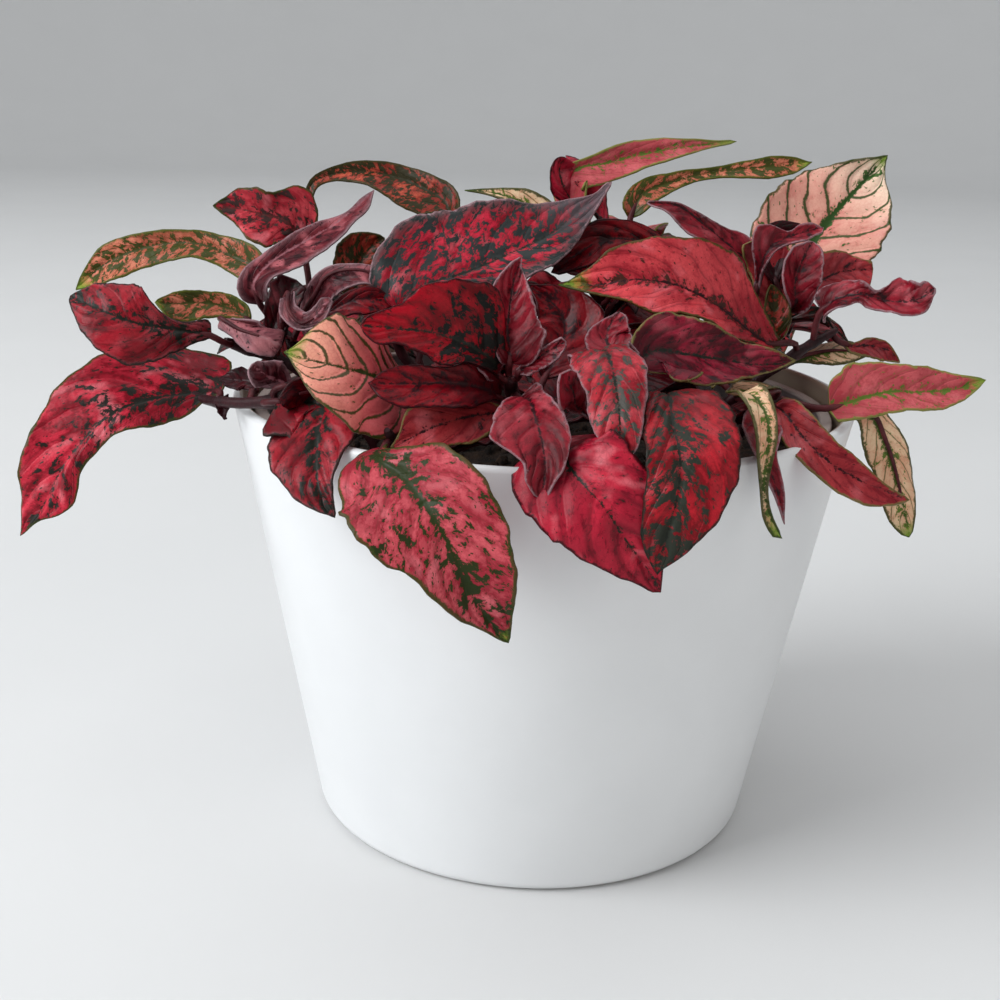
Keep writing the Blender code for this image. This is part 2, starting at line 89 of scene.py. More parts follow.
@dataclass
class Leaf:
    """A leaf: where it leaves its stem, its midrib's route, its blade and its look.

    face is the way the blade's upper side faces in its middle, and twist how many degrees it turns along
    the blade. stalk is the length of the route with no blade. cup and fold bend the two sides, in radians.
    leave is the way the stalk leaves the stem. edges holds, for the two sides, the half widths at stations
    that crowd towards the base and the tip. A leaf without it has a plain outline shaped by width, breadth
    and taper.
    """

    name: str
    stem: str
    along: float
    route: list
    width: float
    face: tuple
    look: str
    stalk: float = 6.0
    fold: tuple = (0.15, 0.15)
    cup: tuple = (0.3, 0.3)
    twist: float = 0.0
    breadth: float = 0.72
    taper: float = 0.25
    ripple: float = 0.5
    leave: tuple = None
    edges: tuple = None


STEMS = {
    "left": Stem((-40, -34), [(-50, -42, 103.5), (-63, -36, 102.5), (-72, -27, 101), (-76, -24, 102)], 1.5),
    "left_middle": Stem((-37, -14), [(-57, -14, 107), (-66, -16, 110), (-69, -17, 112)], 1.5, 0.9),
    "left_back": Stem((-38, 4), [(-40, 3, 97), (-56, -2, 107), (-59, 0, 111)]),
    "centre_left": Stem((-18, -14), [(-20, -14, 97), (-31, -18, 111), (-31, -20, 116)]),
    "centre": Stem((2, -34), [(1, -35, 96), (-6, -46, 109), (-6, -49, 112)], 1.7, 1.1),
    "front_left": Stem((-22, -46), [(-23, -48, 94), (-28, -57, 100), (-29, -60, 104)], 1.5),
    "front_right": Stem((24, -38), [(24, -40, 95), (19, -48, 109), (18, -52, 113)]),
    "back": Stem((6, 24), [(7, 25, 100), (16, 26, 124), (13, 28, 130)], 1.7),
    "back_left": Stem((-24, 30), [(-24, 31, 98), (-27, 33, 110), (-27, 36, 118)]),
    "back_right": Stem((36, 34), [(36, 34, 96), (39, 35, 106), (42, 36, 112)]),
    "right_back": Stem((34, 14), [(36, 13, 100), (53, 4, 117), (54, 6, 122)]),
    "right": Stem((36, -10), [(38, -10, 96), (51, -12, 109), (65, -4, 116)], 1.5, 0.9),
    "right_front": Stem((40, -24), [(41, -25, 95), (48, -28, 105), (50, -26, 105)], 1.5),
}

LEFT_LEAVES = [
    Leaf("leaf_left_long", "left", 0.80,
         [(-70, -27, 103), (-76, -26, 102), (-82.5, -27, 101), (-91, -31, 98), (-99.5, -36, 88.5),
          (-104.5, -38, 79), (-109.5, -38, 72.5)],
         20, (-0.15, -0.8, 0.6), "splashed", stalk=2, fold=(0.0, 0.1), cup=(0.2, -0.7), twist=-20,
         edges=((5.4, 9.8, 13, 13.6, 13.2, 9.8, 7.6, 4.8, 1), (1.7, 3, 5.4, 6.8, 4.4, 3.6, 6.2, 1.4, 0.4))),
    Leaf("leaf_left_round", "left_middle", 0.97,
         [(-72, -22, 114), (-78.5, -27, 116), (-85.5, -31, 118), (-93, -30, 120.5), (-99.5, -26, 122)],
         17, (0, -0.85, 0.5), "ribbed", fold=(0.1, 0.1), cup=(-0.4, -0.4),
         edges=((3, 2.6, 2, 4, 8, 8.4, 6.2, 5, 2.4), (1.2, 2.2, 4.4, 7.2, 9.2, 7.8, 5.4, 2.8, 1.2))),
    Leaf("leaf_left_salmon", "left_middle", 0.80,
         [(-68, -8, 116.5), (-75.5, -8, 118.5), (-81.5, -10, 118.5), (-85.5, -12, 119)],
         7, (0, -0.85, 0.5), "olive", stalk=9,
         edges=((1.2, 2.2, 2.6, 3, 2.6, 2.4, 2.6, 1.6, 0.6), (0.7, 1.3, 2.6, 3.4, 4.4, 4.8, 4.8, 3.8, 1))),
    # Its look is a paler copy of mauve: painted light.
    Leaf("leaf_left_folded", "left_middle", 0.88,
         [(-69.5, -18, 116), (-65, -21, 114.5), (-60, -23, 113.5), (-56, -23, 112)],
         10, (0.1, 0.6, -0.8), "dusty", stalk=2, cup=(0.7, 0.7),
         edges=((6, 5.2, 2.8, 3, 6, 6, 6, 6, 6), (2, 1.8, 1.6, 1.4, 1.6, 3.2, 3.6, 3, 2.4))),
    Leaf("leaf_left_arched", "left_back", 0.77,
         [(-67.5, 8, 124), (-72.5, 11, 126), (-84, 14, 129), (-96.5, 15, 127), (-104.5, 14, 123.5),
          (-111, 11, 117.5)],
         10, (0, -0.9, 0.4), "olive", stalk=20,
         edges=((2, 3.6, 4.4, 3.6, 2.8, 3.4, 4.2, 2.2, 0.6), (2.5, 4.6, 4, 3.6, 5, 5.6, 6.2, 4.6, 1.4))),
    Leaf("leaf_left_upper", "left_back", 0.84,
         [(-56.5, 6, 131), (-59.5, 5, 135.5), (-65, 4, 137), (-69.5, 4, 138), (-76, 4, 138.5)],
         15, (0.1, -0.98, 0.2), "streaked", stalk=24,
         edges=((1.2, 2.2, 4.5, 9, 5.2, 5.4, 4.6, 2, 0.4), (1.2, 2.1, 4.2, 6.2, 7.4, 6, 3.6, 1.6, 0.2))),
    Leaf("leaf_left_pointed", "left_back", 0.99,
         [(-64.5, -4, 118.5), (-65.5, -5, 122.5), (-62, -3, 127), (-55, 0, 131.5), (-47.5, 2, 136),
          (-39.5, 5, 143)],
         9, (-0.4, -0.8, 0.4), "mauve", stalk=9,
         edges=((4.8, 5.4, 5, 6.4, 6.5, 6.5, 3.8, 3, 0.8), (2.2, 3.6, 3.4, 2.6, 2.6, 2.4, 0.6, 0.6, 0.2))),
    Leaf("leaf_left_inner", "left_back", 0.70,
         [(-44.5, 10, 119.5), (-44, 11, 124.5), (-42, 12, 128.5), (-38, 12, 131.5)],
         12, (0, -0.95, 0.3), "rust", stalk=22,
         edges=((0.8, 1.4, 2.8, 5.6, 5.6, 5, 4, 2.6, 1.4), (1.4, 2.5, 5, 5.2, 6, 6.2, 4.6, 2.4, 1))),
    Leaf("leaf_left_curled", "left_back", 0.92,
         [(-49.5, -12, 121.5), (-47, -13, 125.5), (-42, -15, 127.5), (-37, -16, 127), (-33, -16, 124),
          (-30.5, -15, 121.5)],
         9, (0.2, 0.8, -0.6), "mauve", stalk=5, cup=(-0.8, -0.8),
         edges=((0.8, 1.5, 3, 3.4, 2.2, 1.6, 1.8, 1.6, 0.8),
                (0.8, 1.4, 2.8, 5.5, 5.5, 4.2, 2.6, 1.8, 2.2))),
]

CENTRE_LEAVES = [
    Leaf("leaf_centre_large", "centre_left", 0.93,
         [(-29.5, -22, 122.5), (-24.5, -20, 126), (-16.5, -17, 128.5), (-8, -13, 132), (0.5, -9, 136),
          (8, -6, 142), (13.5, -4, 147)],
         22, (0, -0.9, 0.5), "slate", stalk=7, fold=(0.15, -0.2),
         edges=((1.9, 3.4, 4.8, 5.4, 8, 7.2, 4.4, 2, 0.6),
                (7, 12.8, 15.6, 15.6, 13.8, 10.4, 5.4, 0.8, 0.4))),
    Leaf("leaf_top_arched", "centre_left", 0.70,
         [(-23.5, 14, 139), (-29, 17, 142.5), (-36.5, 20, 145), (-44.5, 21, 146), (-52, 21, 145),
          (-56, 20, 143),
          (-57.5, 19, 138), (-57, 18, 133.5), (-55.5, 17, 129.5)],
         10, (0.1, -0.9, 0.4), "rust", stalk=36,
         edges=((1.7, 3, 4, 3.4, 2.6, 1.6, 0.6, 1.4, 1.2), (1.8, 3.2, 6.4, 6.6, 4.2, 2.2, 1.8, 1.6, 1))),
    Leaf("leaf_centre_crimson", "centre", 0.93,
         [(-9, -51, 115.5), (-14, -54, 119.5), (-20.5, -56, 122), (-27, -58, 123), (-34, -59, 123.5)],
         17, (0, -0.9, 0.45), "crimson_spotted", stalk=2,
         edges=((1.6, 2.9, 5.8, 11.5, 10.8, 8.8, 4.6, 2.8, 1.2),
                (0.7, 1.3, 2.6, 3.6, 6.2, 4.6, 3.2, 3.6, 1.6))),
    Leaf("leaf_centre_low", "centre", 0.86,
         [(-10, -52, 110.5), (-15.5, -56, 112.5), (-23, -59, 113), (-28.5, -60, 113), (-32.5, -60, 113)],
         10, (0, -0.85, 0.5), "crimson", stalk=3, fold=(0.2, 0.2),
         edges=((1.5, 2.8, 4.2, 4.2, 3, 3.2, 3.2, 2.4, 0.4), (0.8, 1.5, 3, 5.4, 6, 5.4, 5.4, 3.6, 0.8))),
    Leaf("leaf_centre_upright", "centre", 0.97,
         [(-6.5, -50, 116.5), (-7, -48, 122), (-6.5, -45, 129), (-5, -42, 135)],
         13, (0.1, -1, 0.1), "rose", stalk=4, fold=(0.4, 0.4),
         edges=((3.3, 6, 7.6, 7, 5.6, 3.8, 2.4, 0.8, 0.4), (1.7, 3, 4.2, 5.6, 6, 4.6, 2.8, 1.4, 0.2))),
    Leaf("leaf_centre_hanging", "centre", 0.90,
         [(-2.5, -60, 111), (-1, -67, 109), (0.5, -73, 105), (1, -76, 101.5), (0.5, -77, 96.5)],
         15, (0, -0.9, 0.35), "rose", stalk=3, fold=(0.2, 0.2),
         edges=((1.8, 1.8, 2.4, 4.8, 7.6, 9.2, 4.4, 3.4, 1.6), (3.8, 4.4, 3.8, 3.2, 4.2, 5.6, 4.6, 2, 1))),
    Leaf("leaf_centre_dark", "centre", 0.60, [(4, -26, 120), (-4, -24, 127)], 18, (0, -0.9, 0.4), "crimson",
         stalk=8),
    Leaf("leaf_centre_back", "right_back", 0.70,
         [(25.5, -2, 132.5), (19, -3, 134.5), (12, -5, 134.5), (6, -7, 131), (1, -8, 127.5)],
         9, (0, -0.85, 0.5), "crimson", stalk=14,
         edges=((0.4, 0.5, 1, 1.9, 3.8, 4, 4.2, 2.6, 0.6), (0.4, 0.7, 1.3, 2.6, 5.2, 5, 4.2, 2.8, 1.4))),
]

FRONT_LEAVES = [
    Leaf("leaf_front_pale", "centre_left", 0.60,
         [(-30.5, -52, 112), (-34.5, -55, 114), (-39, -57, 115.5), (-44, -57, 116.5), (-49, -56, 117.5)],
         24, (-0.1, -0.9, 0.42), "pale_veined", stalk=18, cup=(-0.15, -0.15),
         edges=((1.1, 2.1, 4.1, 8.2, 9.4, 10.8, 10.4, 6.8, 1.4),
                (1.3, 2.3, 4.6, 6.8, 12.4, 13, 8.4, 3.2, 0.6))),
    Leaf("leaf_front_left", "left", 0.52,
         [(-43, -50, 106), (-43, -55, 102), (-42.5, -60, 97.5), (-41.5, -64, 93.5), (-38, -67, 88.5)],
         18, (-0.3, -0.9, 0.3), "ribbed", cup=(-0.2, -0.2),
         edges=((9.5, 9.5, 9.5, 9.5, 9.5, 9, 5.8, 2.8, 0.6), (2.9, 5.2, 6, 6.8, 8.8, 5.6, 3.4, 2, 0.8))),
    Leaf("leaf_front_pink", "front_left", 0.93,
         [(-30, -68, 101), (-25, -73, 99), (-20, -79, 95.5), (-16, -82, 90), (-12.5, -83, 83),
          (-9, -82, 76.5),
          (-4.5, -80, 70)],
         25, (0, -0.95, 0.35), "pink_flecked", stalk=2,
         edges=((4.6, 6.2, 12.4, 13.4, 12.8, 7.6, 4.6, 2.2, 0.8),
                (1.3, 2.4, 4.8, 9.6, 11.8, 10.6, 7.8, 4.2, 1.4))),
    Leaf("leaf_front_crested", "front_right", 0.93,
         [(10.5, -54, 119), (11.5, -60, 120.5), (12.5, -66, 118.5), (13.5, -71, 113.5), (14, -74, 109),
          (14.5, -75, 104)],
         13, (0, -0.9, 0.4), "slate_red", cup=(-0.4, -0.4), leave=(-1, -0.3, 0.5),
         edges=((6, 6.2, 6, 7.2, 6.8, 5.6, 5.4, 3.8, 2), (6.6, 6.4, 5.8, 4.6, 6, 5.6, 4.4, 3.6, 2))),
    Leaf("leaf_front_red", "front_right", 0.75,
         [(4.5, -72, 103.5), (7.5, -77, 100), (11.5, -80, 96.5), (15.5, -81, 91), (19.5, -80, 85.5),
          (22.5, -79, 80.5)],
         21, (0, -0.97, 0.25), "bright", stalk=12, cup=(-0.2, -0.2),
         edges=((13, 13, 13, 11.2, 11, 9.8, 6.2, 3.4, 1.6), (2.1, 3.8, 7.6, 9.8, 10.4, 9.4, 6.6, 3, 0.8))),
    Leaf("leaf_front_mottled", "front_right", 0.84,
         [(23, -63, 113.5), (23.5, -71, 110), (24.5, -78, 105), (24, -81, 98.5), (22.5, -82, 91.5),
          (21.5, -81, 84.5)],
         17, (0.1, -0.95, 0.3), "splashed_dark", stalk=7, cup=(-0.3, -0.3),
         edges=((2.6, 3, 4.2, 5.2, 6, 5.8, 5.2, 3.4, 1), (11.2, 9.8, 9.2, 11.2, 11.2, 9.4, 6.4, 3.4, 0.6))),
    Leaf("leaf_front_magenta", "front_right", 0.97,
         [(20.5, -47, 118), (27.5, -45, 117.5), (35.5, -42, 116), (44.5, -38, 114.5), (51, -35, 115)],
         15, (0, -0.8, 0.6), "wine", stalk=2,
         edges=((11, 11, 7, 7.2, 6.6, 4.2, 2.2, 1, 0.2), (2.2, 4, 8, 7.4, 5.6, 4.8, 3.8, 1.8, 0.4))),
]

RIGHT_LEAVES = [
    Leaf("leaf_right_broad", "right", 0.75,
         [(48, -17, 115), (43, -20, 118.5), (35, -25, 124.5), (26.5, -28, 128.5), (18, -29, 129.5),
          (11, -28, 128), (2.5, -26, 127.5)],
         18, (0, -0.8, 0.6), "coral", stalk=7,
         edges=((2.1, 3.8, 7.6, 10.8, 10.6, 8.8, 6.2, 3, 0.4), (1.1, 2, 3.8, 6.6, 7.2, 8, 4.2, 1.6, 0.4))),
    Leaf("leaf_right_pale", "right_back", 0.80,
         [(57, 16, 124.5), (61, 20, 130.5), (65.5, 24, 136), (70, 27, 141), (75, 29, 146.5),
          (80.5, 31, 152.5)],
         30, (-0.1, -0.9, 0.4), "cream_veined", stalk=12,
         edges=((7.4, 13.4, 15, 15, 14.8, 13, 8.6, 3, 0.6),
                (5.5, 10, 14, 14.6, 13.6, 11.8, 6.6, 2.6, 0.6))),
    Leaf("leaf_right_arched", "right_back", 0.86,
         [(50, 4, 121), (46.5, 7, 128.5), (40, 8, 134), (34.5, 7, 138), (29, 6, 141.5), (22, 5, 142)],
         13, (0, -0.6, 0.8), "rose", stalk=7,
         edges=((3.2, 3.2, 4.2, 5.2, 2.2, 1.2, 0.8, 0.4, 0.4), (6, 7, 7.5, 7.5, 7.5, 7.4, 6, 3.6, 1.6))),
    Leaf("leaf_right_maroon", "right_back", 0.93,
         [(59, 0, 122), (61, 2, 125.5), (66.5, 4, 128), (74, 6, 128.5)],
         11, (0, -0.9, 0.4), "brick", stalk=8,
         edges=((2.8, 3.6, 3.6, 3.8, 5, 6.6, 5.6, 4.6, 1.4), (3.8, 4, 4.8, 5.8, 5, 4, 2.8, 1.8, 1.4))),
    Leaf("leaf_right_ruffled", "right", 0.85,
         [(60, -9, 120.5), (62.5, -11, 124), (67.5, -13, 125.5), (73.5, -14, 124.5), (78.5, -15, 125),
          (82.5, -15, 127.5)],
         13, (0, -0.7, 0.7), "rose", stalk=7, ripple=1.8,
         edges=((6.2, 6.5, 5.6, 2.1, 4.2, 6.5, 4.6, 2.4, 1), (3, 4.8, 5.2, 2.6, 1.2, 6.5, 4.4, 2.2, 1.8))),
    Leaf("leaf_right_salmon", "right", 0.65, [(60.5, 2, 108.5), (66, 3, 109.5), (74.5, 4, 109)],
         9, (0, 0.5, -0.8), "cream_green",
         edges=((0.4, 0.5, 1, 1.9, 3.8, 5.8, 5.4, 3.8, 2), (0.4, 0.4, 0.6, 1.2, 2.4, 3.4, 2.8, 1.4, 0.4))),
    Leaf("leaf_right_long", "right_front", 0.95,
         [(58.5, -30, 104), (63.5, -30, 105.5), (71, -28, 107.5), (80, -26, 107.5), (87.5, -24, 108),
          (93.5, -22, 109.5)],
         12, (0, -0.85, 0.55), "pink_green", stalk=10, cup=(0.1, 0.1),
         edges=((3.4, 4, 4.8, 5, 4.6, 4.6, 3.2, 1.6, 0.4), (4.2, 6.2, 7.6, 6.4, 5.4, 5, 3.6, 1.8, 0.6))),
    Leaf("leaf_right_low", "right_front", 0.85,
         [(48.5, -40, 105.5), (52, -45, 101.5), (57, -49, 97.5), (64, -50, 94), (73, -49, 90.5)],
         9, (0, -0.8, 0.6), "brick", stalk=3,
         edges=((0.8, 1.5, 3, 4.4, 4.8, 5.4, 4.8, 2.6, 0.8), (2.6, 3.2, 3.6, 4, 4, 3.8, 2, 0.8, 0.4))),
    Leaf("leaf_right_trailing", "right_front", 0.70,
         [(73.5, -6, 98), (77.5, -6, 91.5), (80.5, -6, 84.5), (82.5, -7, 78), (85, -8, 69.5)],
         10, (-0.3, 0.9, -0.1), "cream_green", stalk=30,
         edges=((1, 1.8, 3.6, 5.2, 5.8, 5.6, 4.2, 2.6, 1.4), (1.7, 3, 4.4, 4.6, 4.6, 4.6, 4, 2.8, 1.4))),
    Leaf("leaf_right_ribbon", "right_front", 0.90,
         [(37.5, -50, 111), (40, -56, 112), (41.5, -60, 110), (42, -64, 106.5), (41.5, -66, 102),
          (41.5, -66, 96.5), (43, -65, 91.5), (46, -64, 86.5)],
         7, (0.5, -0.8, 0.3), "cream_green", stalk=4,
         edges=((1.2, 2.2, 4.4, 2.3, 4.6, 3.4, 0.8, 1.4, 1.4),
                (0.7, 1.3, 2.6, 4.6, 2.4, 1.6, 0.8, 0.4, 0.2))),
]

BACK_LEAVES = [
    Leaf("leaf_top_tall", "back", 0.97,
         [(6, 28, 137.5), (4.5, 29, 141), (4, 30, 145), (7, 30, 147.5), (14, 31, 149), (21.5, 32, 151),
          (32.5, 34, 153), (45, 36, 154.5)],
         10, (0, -0.9, 0.4), "pink_green", stalk=5,
         edges=((1.8, 3.2, 6, 6, 5, 3.8, 2.2, 1, 0.4), (1, 1.9, 3.8, 1.7, 3.4, 3.4, 1.8, 0.6, 0.4))),
    Leaf("leaf_top_slender", "back", 0.88,
         [(20, 27, 137.5), (22.5, 28, 142), (29.5, 29, 145), (39, 30, 147.5), (50.5, 30, 149),
          (62.5, 30, 150.5)],
         7, (0, -0.9, 0.4), "olive", stalk=12,
         edges=((2.1, 3.8, 3.4, 2, 1.8, 2.8, 3.4, 2.6, 0.8), (2.4, 3.4, 3, 1.8, 1, 1.8, 2.2, 1.4, 0.2))),
    Leaf("leaf_top_cream", "back", 0.86, [(-1, 36, 136), (-11, 38, 140), (-21, 38, 141)],
         8, (0, -0.6, 0.8), "cream_green"),
    Leaf("leaf_back_middle", "back", 0.75, [(0, 44, 124), (-8, 62, 120), (-15, 80, 100)],
         22, (0, 0.6, 0.8), "bright"),
    Leaf("leaf_back_low", "back", 0.66, [(18, 42, 124), (28, 60, 122), (35, 80, 102)], 20, (0, 0.6, 0.8),
         "splashed"),
    Leaf("leaf_back_upper", "back_left", 0.97, [(-22, 46, 128), (-24, 62, 126), (-28, 76, 112)],
         18, (0, 0.5, 0.8), "pink_flecked"),
    Leaf("leaf_back_left", "back_left", 0.90, [(-36, 44, 116), (-46, 58, 112), (-56, 70, 94)],
         20, (-0.4, 0.5, 0.8), "splashed_dark"),
    Leaf("leaf_back_left_low", "back_left", 0.80, [(-46, 30, 114), (-62, 34, 112), (-78, 38, 100)],
         17, (-0.3, 0.2, 0.9), "crimson_spotted"),
    Leaf("leaf_back_right", "back_right", 0.90, [(46, 44, 116), (58, 56, 112), (66, 68, 94)],
         20, (0.4, 0.5, 0.8), "coral"),
    Leaf("leaf_back_right_low", "back_right", 0.80, [(56, 26, 112), (68, 30, 110), (80, 36, 98)],
         17, (0.3, 0.2, 0.9), "splashed"),
]

ALL_LEAVES = LEFT_LEAVES + CENTRE_LEAVES + FRONT_LEAVES + RIGHT_LEAVES + BACK_LEAVES

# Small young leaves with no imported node.
SHOOTS = [
    Leaf("shoot_left_bract", "left", 0.62, [(-60.5, -33, 106.5), (-63.5, -32, 106.5), (-67.5, -31, 106.5)],
         6, (0, -0.8, 0.6), "dark", stalk=2,
         edges=((0.4, 0.6, 0.9, 1.8, 2.8, 2.2, 1.8, 0.8, 0.4),
                (0.7, 1.2, 2.4, 3, 2.8, 2.2, 1.8, 0.6, 0.4))),
    Leaf("shoot_right_back", "right_back", 0.97, [(52, 8, 135), (62, 8, 136)], 7, (0, -0.8, 0.6), "dark",
         stalk=4),
    Leaf("shoot_right_top", "right_back", 0.90,
         [(55.5, -4, 121.5), (55, -4, 125.5), (56, -3, 130), (58.5, -1, 135)],
         10, (0.1, -0.9, 0.4), "rose", stalk=4, cup=(0.8, 0.8),
         edges=((0.7, 1.3, 2.6, 5.2, 5.4, 5.2, 4.8, 3.6, 1.6),
                (0.4, 0.7, 1.4, 2.8, 4.2, 4.8, 4.2, 2, 0.8))),
    Leaf("shoot_right_tip", "right", 0.97,
         [(69, -3, 112.5), (73, -2, 112.5), (77.5, -2, 111.5), (80, -3, 109)],
         6, (0, -0.8, 0.6), "brick", stalk=4,
         edges=((2.4, 2.6, 2.8, 3.2, 3.8, 4.2, 3.6, 2, 0.4), (0.4, 0.6, 1, 1.4, 1.8, 1.8, 0.8, 0.4, 0.2))),
    Leaf("shoot_right_red", "right_front", 0.80, [(42, -56, 102), (45, -60, 95), (47, -60, 88)],
         8, (0, -0.9, 0.4), "rose", stalk=4),
    Leaf("shoot_centre", "front_right", 0.80, [(13.5, -46, 117.5), (12, -43, 120), (14.5, -40, 124.5)],
         9, (0, -0.95, 0.2), "rose", stalk=8,
         edges=((1.2, 2.1, 4.2, 5, 5.2, 5.4, 4.4, 3.2, 1.8), (0.6, 1.1, 2.2, 4.2, 4, 2.8, 1.6, 0.6, 0.2))),
    Leaf("shoot_star_right", "centre", 0.99, [(-4.5, -50, 114), (-0.5, -52, 117.5), (4, -53, 120.5)],
         4, (0.2, -0.9, 0.4), "rose", stalk=2,
         edges=((0.6, 1, 2, 2.2, 2.4, 2.4, 2.2, 1.4, 0.8), (0.3, 0.5, 1, 1.2, 1.2, 1.2, 1.2, 1, 1))),
    Leaf("shoot_star_left", "centre", 0.98, [(-11, -52, 116), (-15, -51, 117)], 6, (0, -0.8, 0.6), "rose",
         stalk=2),
    Leaf("shoot_curl", "left_middle", 0.75,
         [(-54.5, -19, 122), (-54, -22, 119.5), (-51, -24, 117), (-47.5, -24, 119), (-45.5, -22, 122.5)],
         5, (0.2, 0.7, -0.6), "mauve", cup=(-0.8, -0.8),
         edges=((3.4, 3.4, 3.4, 1.6, 2.2, 3, 2.2, 2, 1.8), (0.4, 0.8, 1.6, 2.2, 2.4, 1.8, 2.6, 1.6, 1.4))),
    Leaf("shoot_right_upper", "right_back", 0.80,
         [(48, -1, 131), (50.5, -1, 134.5), (55, 0, 136.5), (61, 1, 138)],
         7, (0, -0.8, 0.6), "rose", stalk=10,
         edges=((0.4, 0.4, 0.7, 1.4, 1.6, 2.2, 2.4, 1.6, 1.2),
                (0.4, 0.7, 1.4, 2.8, 5.2, 1.4, 1.8, 1.2, 0.2))),
    Leaf("shoot_right_brown", "right_back", 0.70, [(51, -3, 114.5), (51, -3, 119.5), (50, -2, 125.5)],
         6, (0.1, -0.9, 0.3), "rust", stalk=4,
         edges=((0.4, 0.4, 0.8, 1.5, 3, 3.6, 3, 1.6, 0.6), (0.4, 0.4, 0.8, 1.6, 3, 2.6, 2, 1.2, 0.2))),
    Leaf("shoot_centre_front", "centre", 0.60,
         [(-9, -52, 106), (-14.5, -56, 106), (-21, -60, 104.5), (-28.5, -62, 100.5)],
         9, (0, -0.9, 0.4), "brick", stalk=5,
         edges=((0.4, 0.6, 1.2, 2.4, 2.4, 3.8, 5, 1.6, 0.4), (0.5, 0.9, 1.8, 3.6, 5.6, 4.8, 3, 1.6, 0.4))),
    Leaf("shoot_left_scale", "left", 0.79, [(-67.5, -32, 102.5), (-66.5, -33, 101), (-66, -34, 98.5)],
         3, (0, -0.9, 0.4), "dark", stalk=1,
         edges=((1, 1.2, 1.2, 1.4, 1.2, 1, 0.8, 0.4, 0.2), (2.2, 2, 1.8, 1.6, 1.4, 0.8, 0.4, 0.2, 0.4))),
    Leaf("shoot_right_fill", "right_back", 0.75,
         [(53, 0, 114), (52, 3, 120), (50.5, 5, 127.5), (48.5, 6, 135)],
         11, (0.1, -0.9, 0.4), "brick", stalk=5,
         edges=((0.8, 1.5, 3, 4.6, 5.2, 5.8, 5.8, 4.6, 2.4), (1.4, 2.6, 3.8, 4, 4.6, 5, 5.6, 6.2, 5.6))),
    Leaf("shoot_left_crimson", "left_back", 0.80,
         [(-47, -19, 118.5), (-42, -20, 121.5), (-37, -20, 122.5), (-32, -19, 121)],
         6, (0, -0.9, 0.4), "crimson", stalk=9,
         edges=((0.4, 0.4, 0.7, 1.4, 2.8, 3.2, 3.8, 2.6, 0.8),
                (0.4, 0.4, 0.4, 0.4, 0.8, 2.2, 2.6, 1.6, 0.4))),
    Leaf("shoot_left_maroon", "left_middle", 0.78,
         [(-62, -14, 109), (-59.5, -14, 114), (-57, -13, 119.5), (-54.5, -12, 124.5)],
         8, (0, -0.9, 0.4), "dark", stalk=5,
         edges=((4, 4, 3.8, 3.4, 3.4, 3.6, 3.6, 3.2, 3), (1.6, 2, 2.4, 2.8, 3.4, 4.2, 4.6, 3.6, 3))),
    Leaf("shoot_crest_lobe", "front_right", 0.70,
         [(7, -62, 109.5), (6, -65, 113), (5, -67, 116), (5, -67, 118)],
         8, (0, -0.95, 0.2), "rose", stalk=8,
         edges=((0.4, 0.4, 0.4, 0.6, 1.2, 2, 2.4, 2.4, 1.8),
                (0.4, 0.4, 0.4, 0.4, 0.4, 2.2, 4.6, 5.2, 4.2))),
    Leaf("shoot_left_small", "left", 0.35,
         [(-52.5, -38, 107.5), (-54.5, -39, 108.5), (-56.5, -40, 110), (-58.5, -40, 111.5)],
         7, (0, -0.9, 0.4), "mauve", stalk=4,
         edges=((0.4, 0.4, 0.9, 1.7, 3.4, 3.8, 3, 1.8, 1.2), (0.4, 0.4, 0.5, 1, 1.6, 2.6, 3.6, 2.6, 1.6))),
    Leaf("shoot_left_fill", "left", 0.50,
         [(-43.5, -46, 108.5), (-46, -48, 108.5), (-48.5, -50, 108), (-50.5, -51, 106)],
         12, (0, -0.9, 0.4), "crimson", stalk=4,
         edges=((7.8, 8.4, 8.8, 7.8, 8.4, 8.6, 8, 9.2, 9.4), (0.6, 1.1, 2.2, 2, 0.4, 3, 2.8, 1.6, 1.2))),
    Leaf("shoot_top_lobe", "back", 0.95,
         [(8.5, 30, 140), (5.5, 29, 140.5), (3.5, 28, 143.5), (2.5, 28, 147), (3.5, 28, 150)],
         14, (-0.2, -0.9, 0.4), "bright", stalk=4, cup=(-0.9, -0.9),
         edges=((0.8, 1.5, 3, 6, 12, 10.2, 11, 11.6, 10.6), (0.4, 0.4, 0.4, 0.4, 0.4, 3, 3.2, 2.8, 1.8))),
]


def inner_leaf(stem, along, heading, length, lift, width, look):
    """A leaf that leaves its stem level, in a heading given in degrees, and arches over."""
    points = stem_points(STEMS[stem], LEAF_SAMPLES + 1)
    joint = points[round(along * LEAF_SAMPLES)]
    out = Vector((math.cos(math.radians(heading)), math.sin(math.radians(heading)), 0))
    route = [joint + out * length * 0.4 + Vector((0, 0, lift)),
             joint + out * length * 0.75 + Vector((0, 0, lift * 1.1)),
             joint + out * length + Vector((0, 0, lift * 0.5))]
    return Leaf(f"inner_{stem}_{heading}", stem, along, [tuple(p) for p in route], width,
                (0.3 * out.x, 0.3 * out.y, 0.9), look, stalk=length * 0.22)
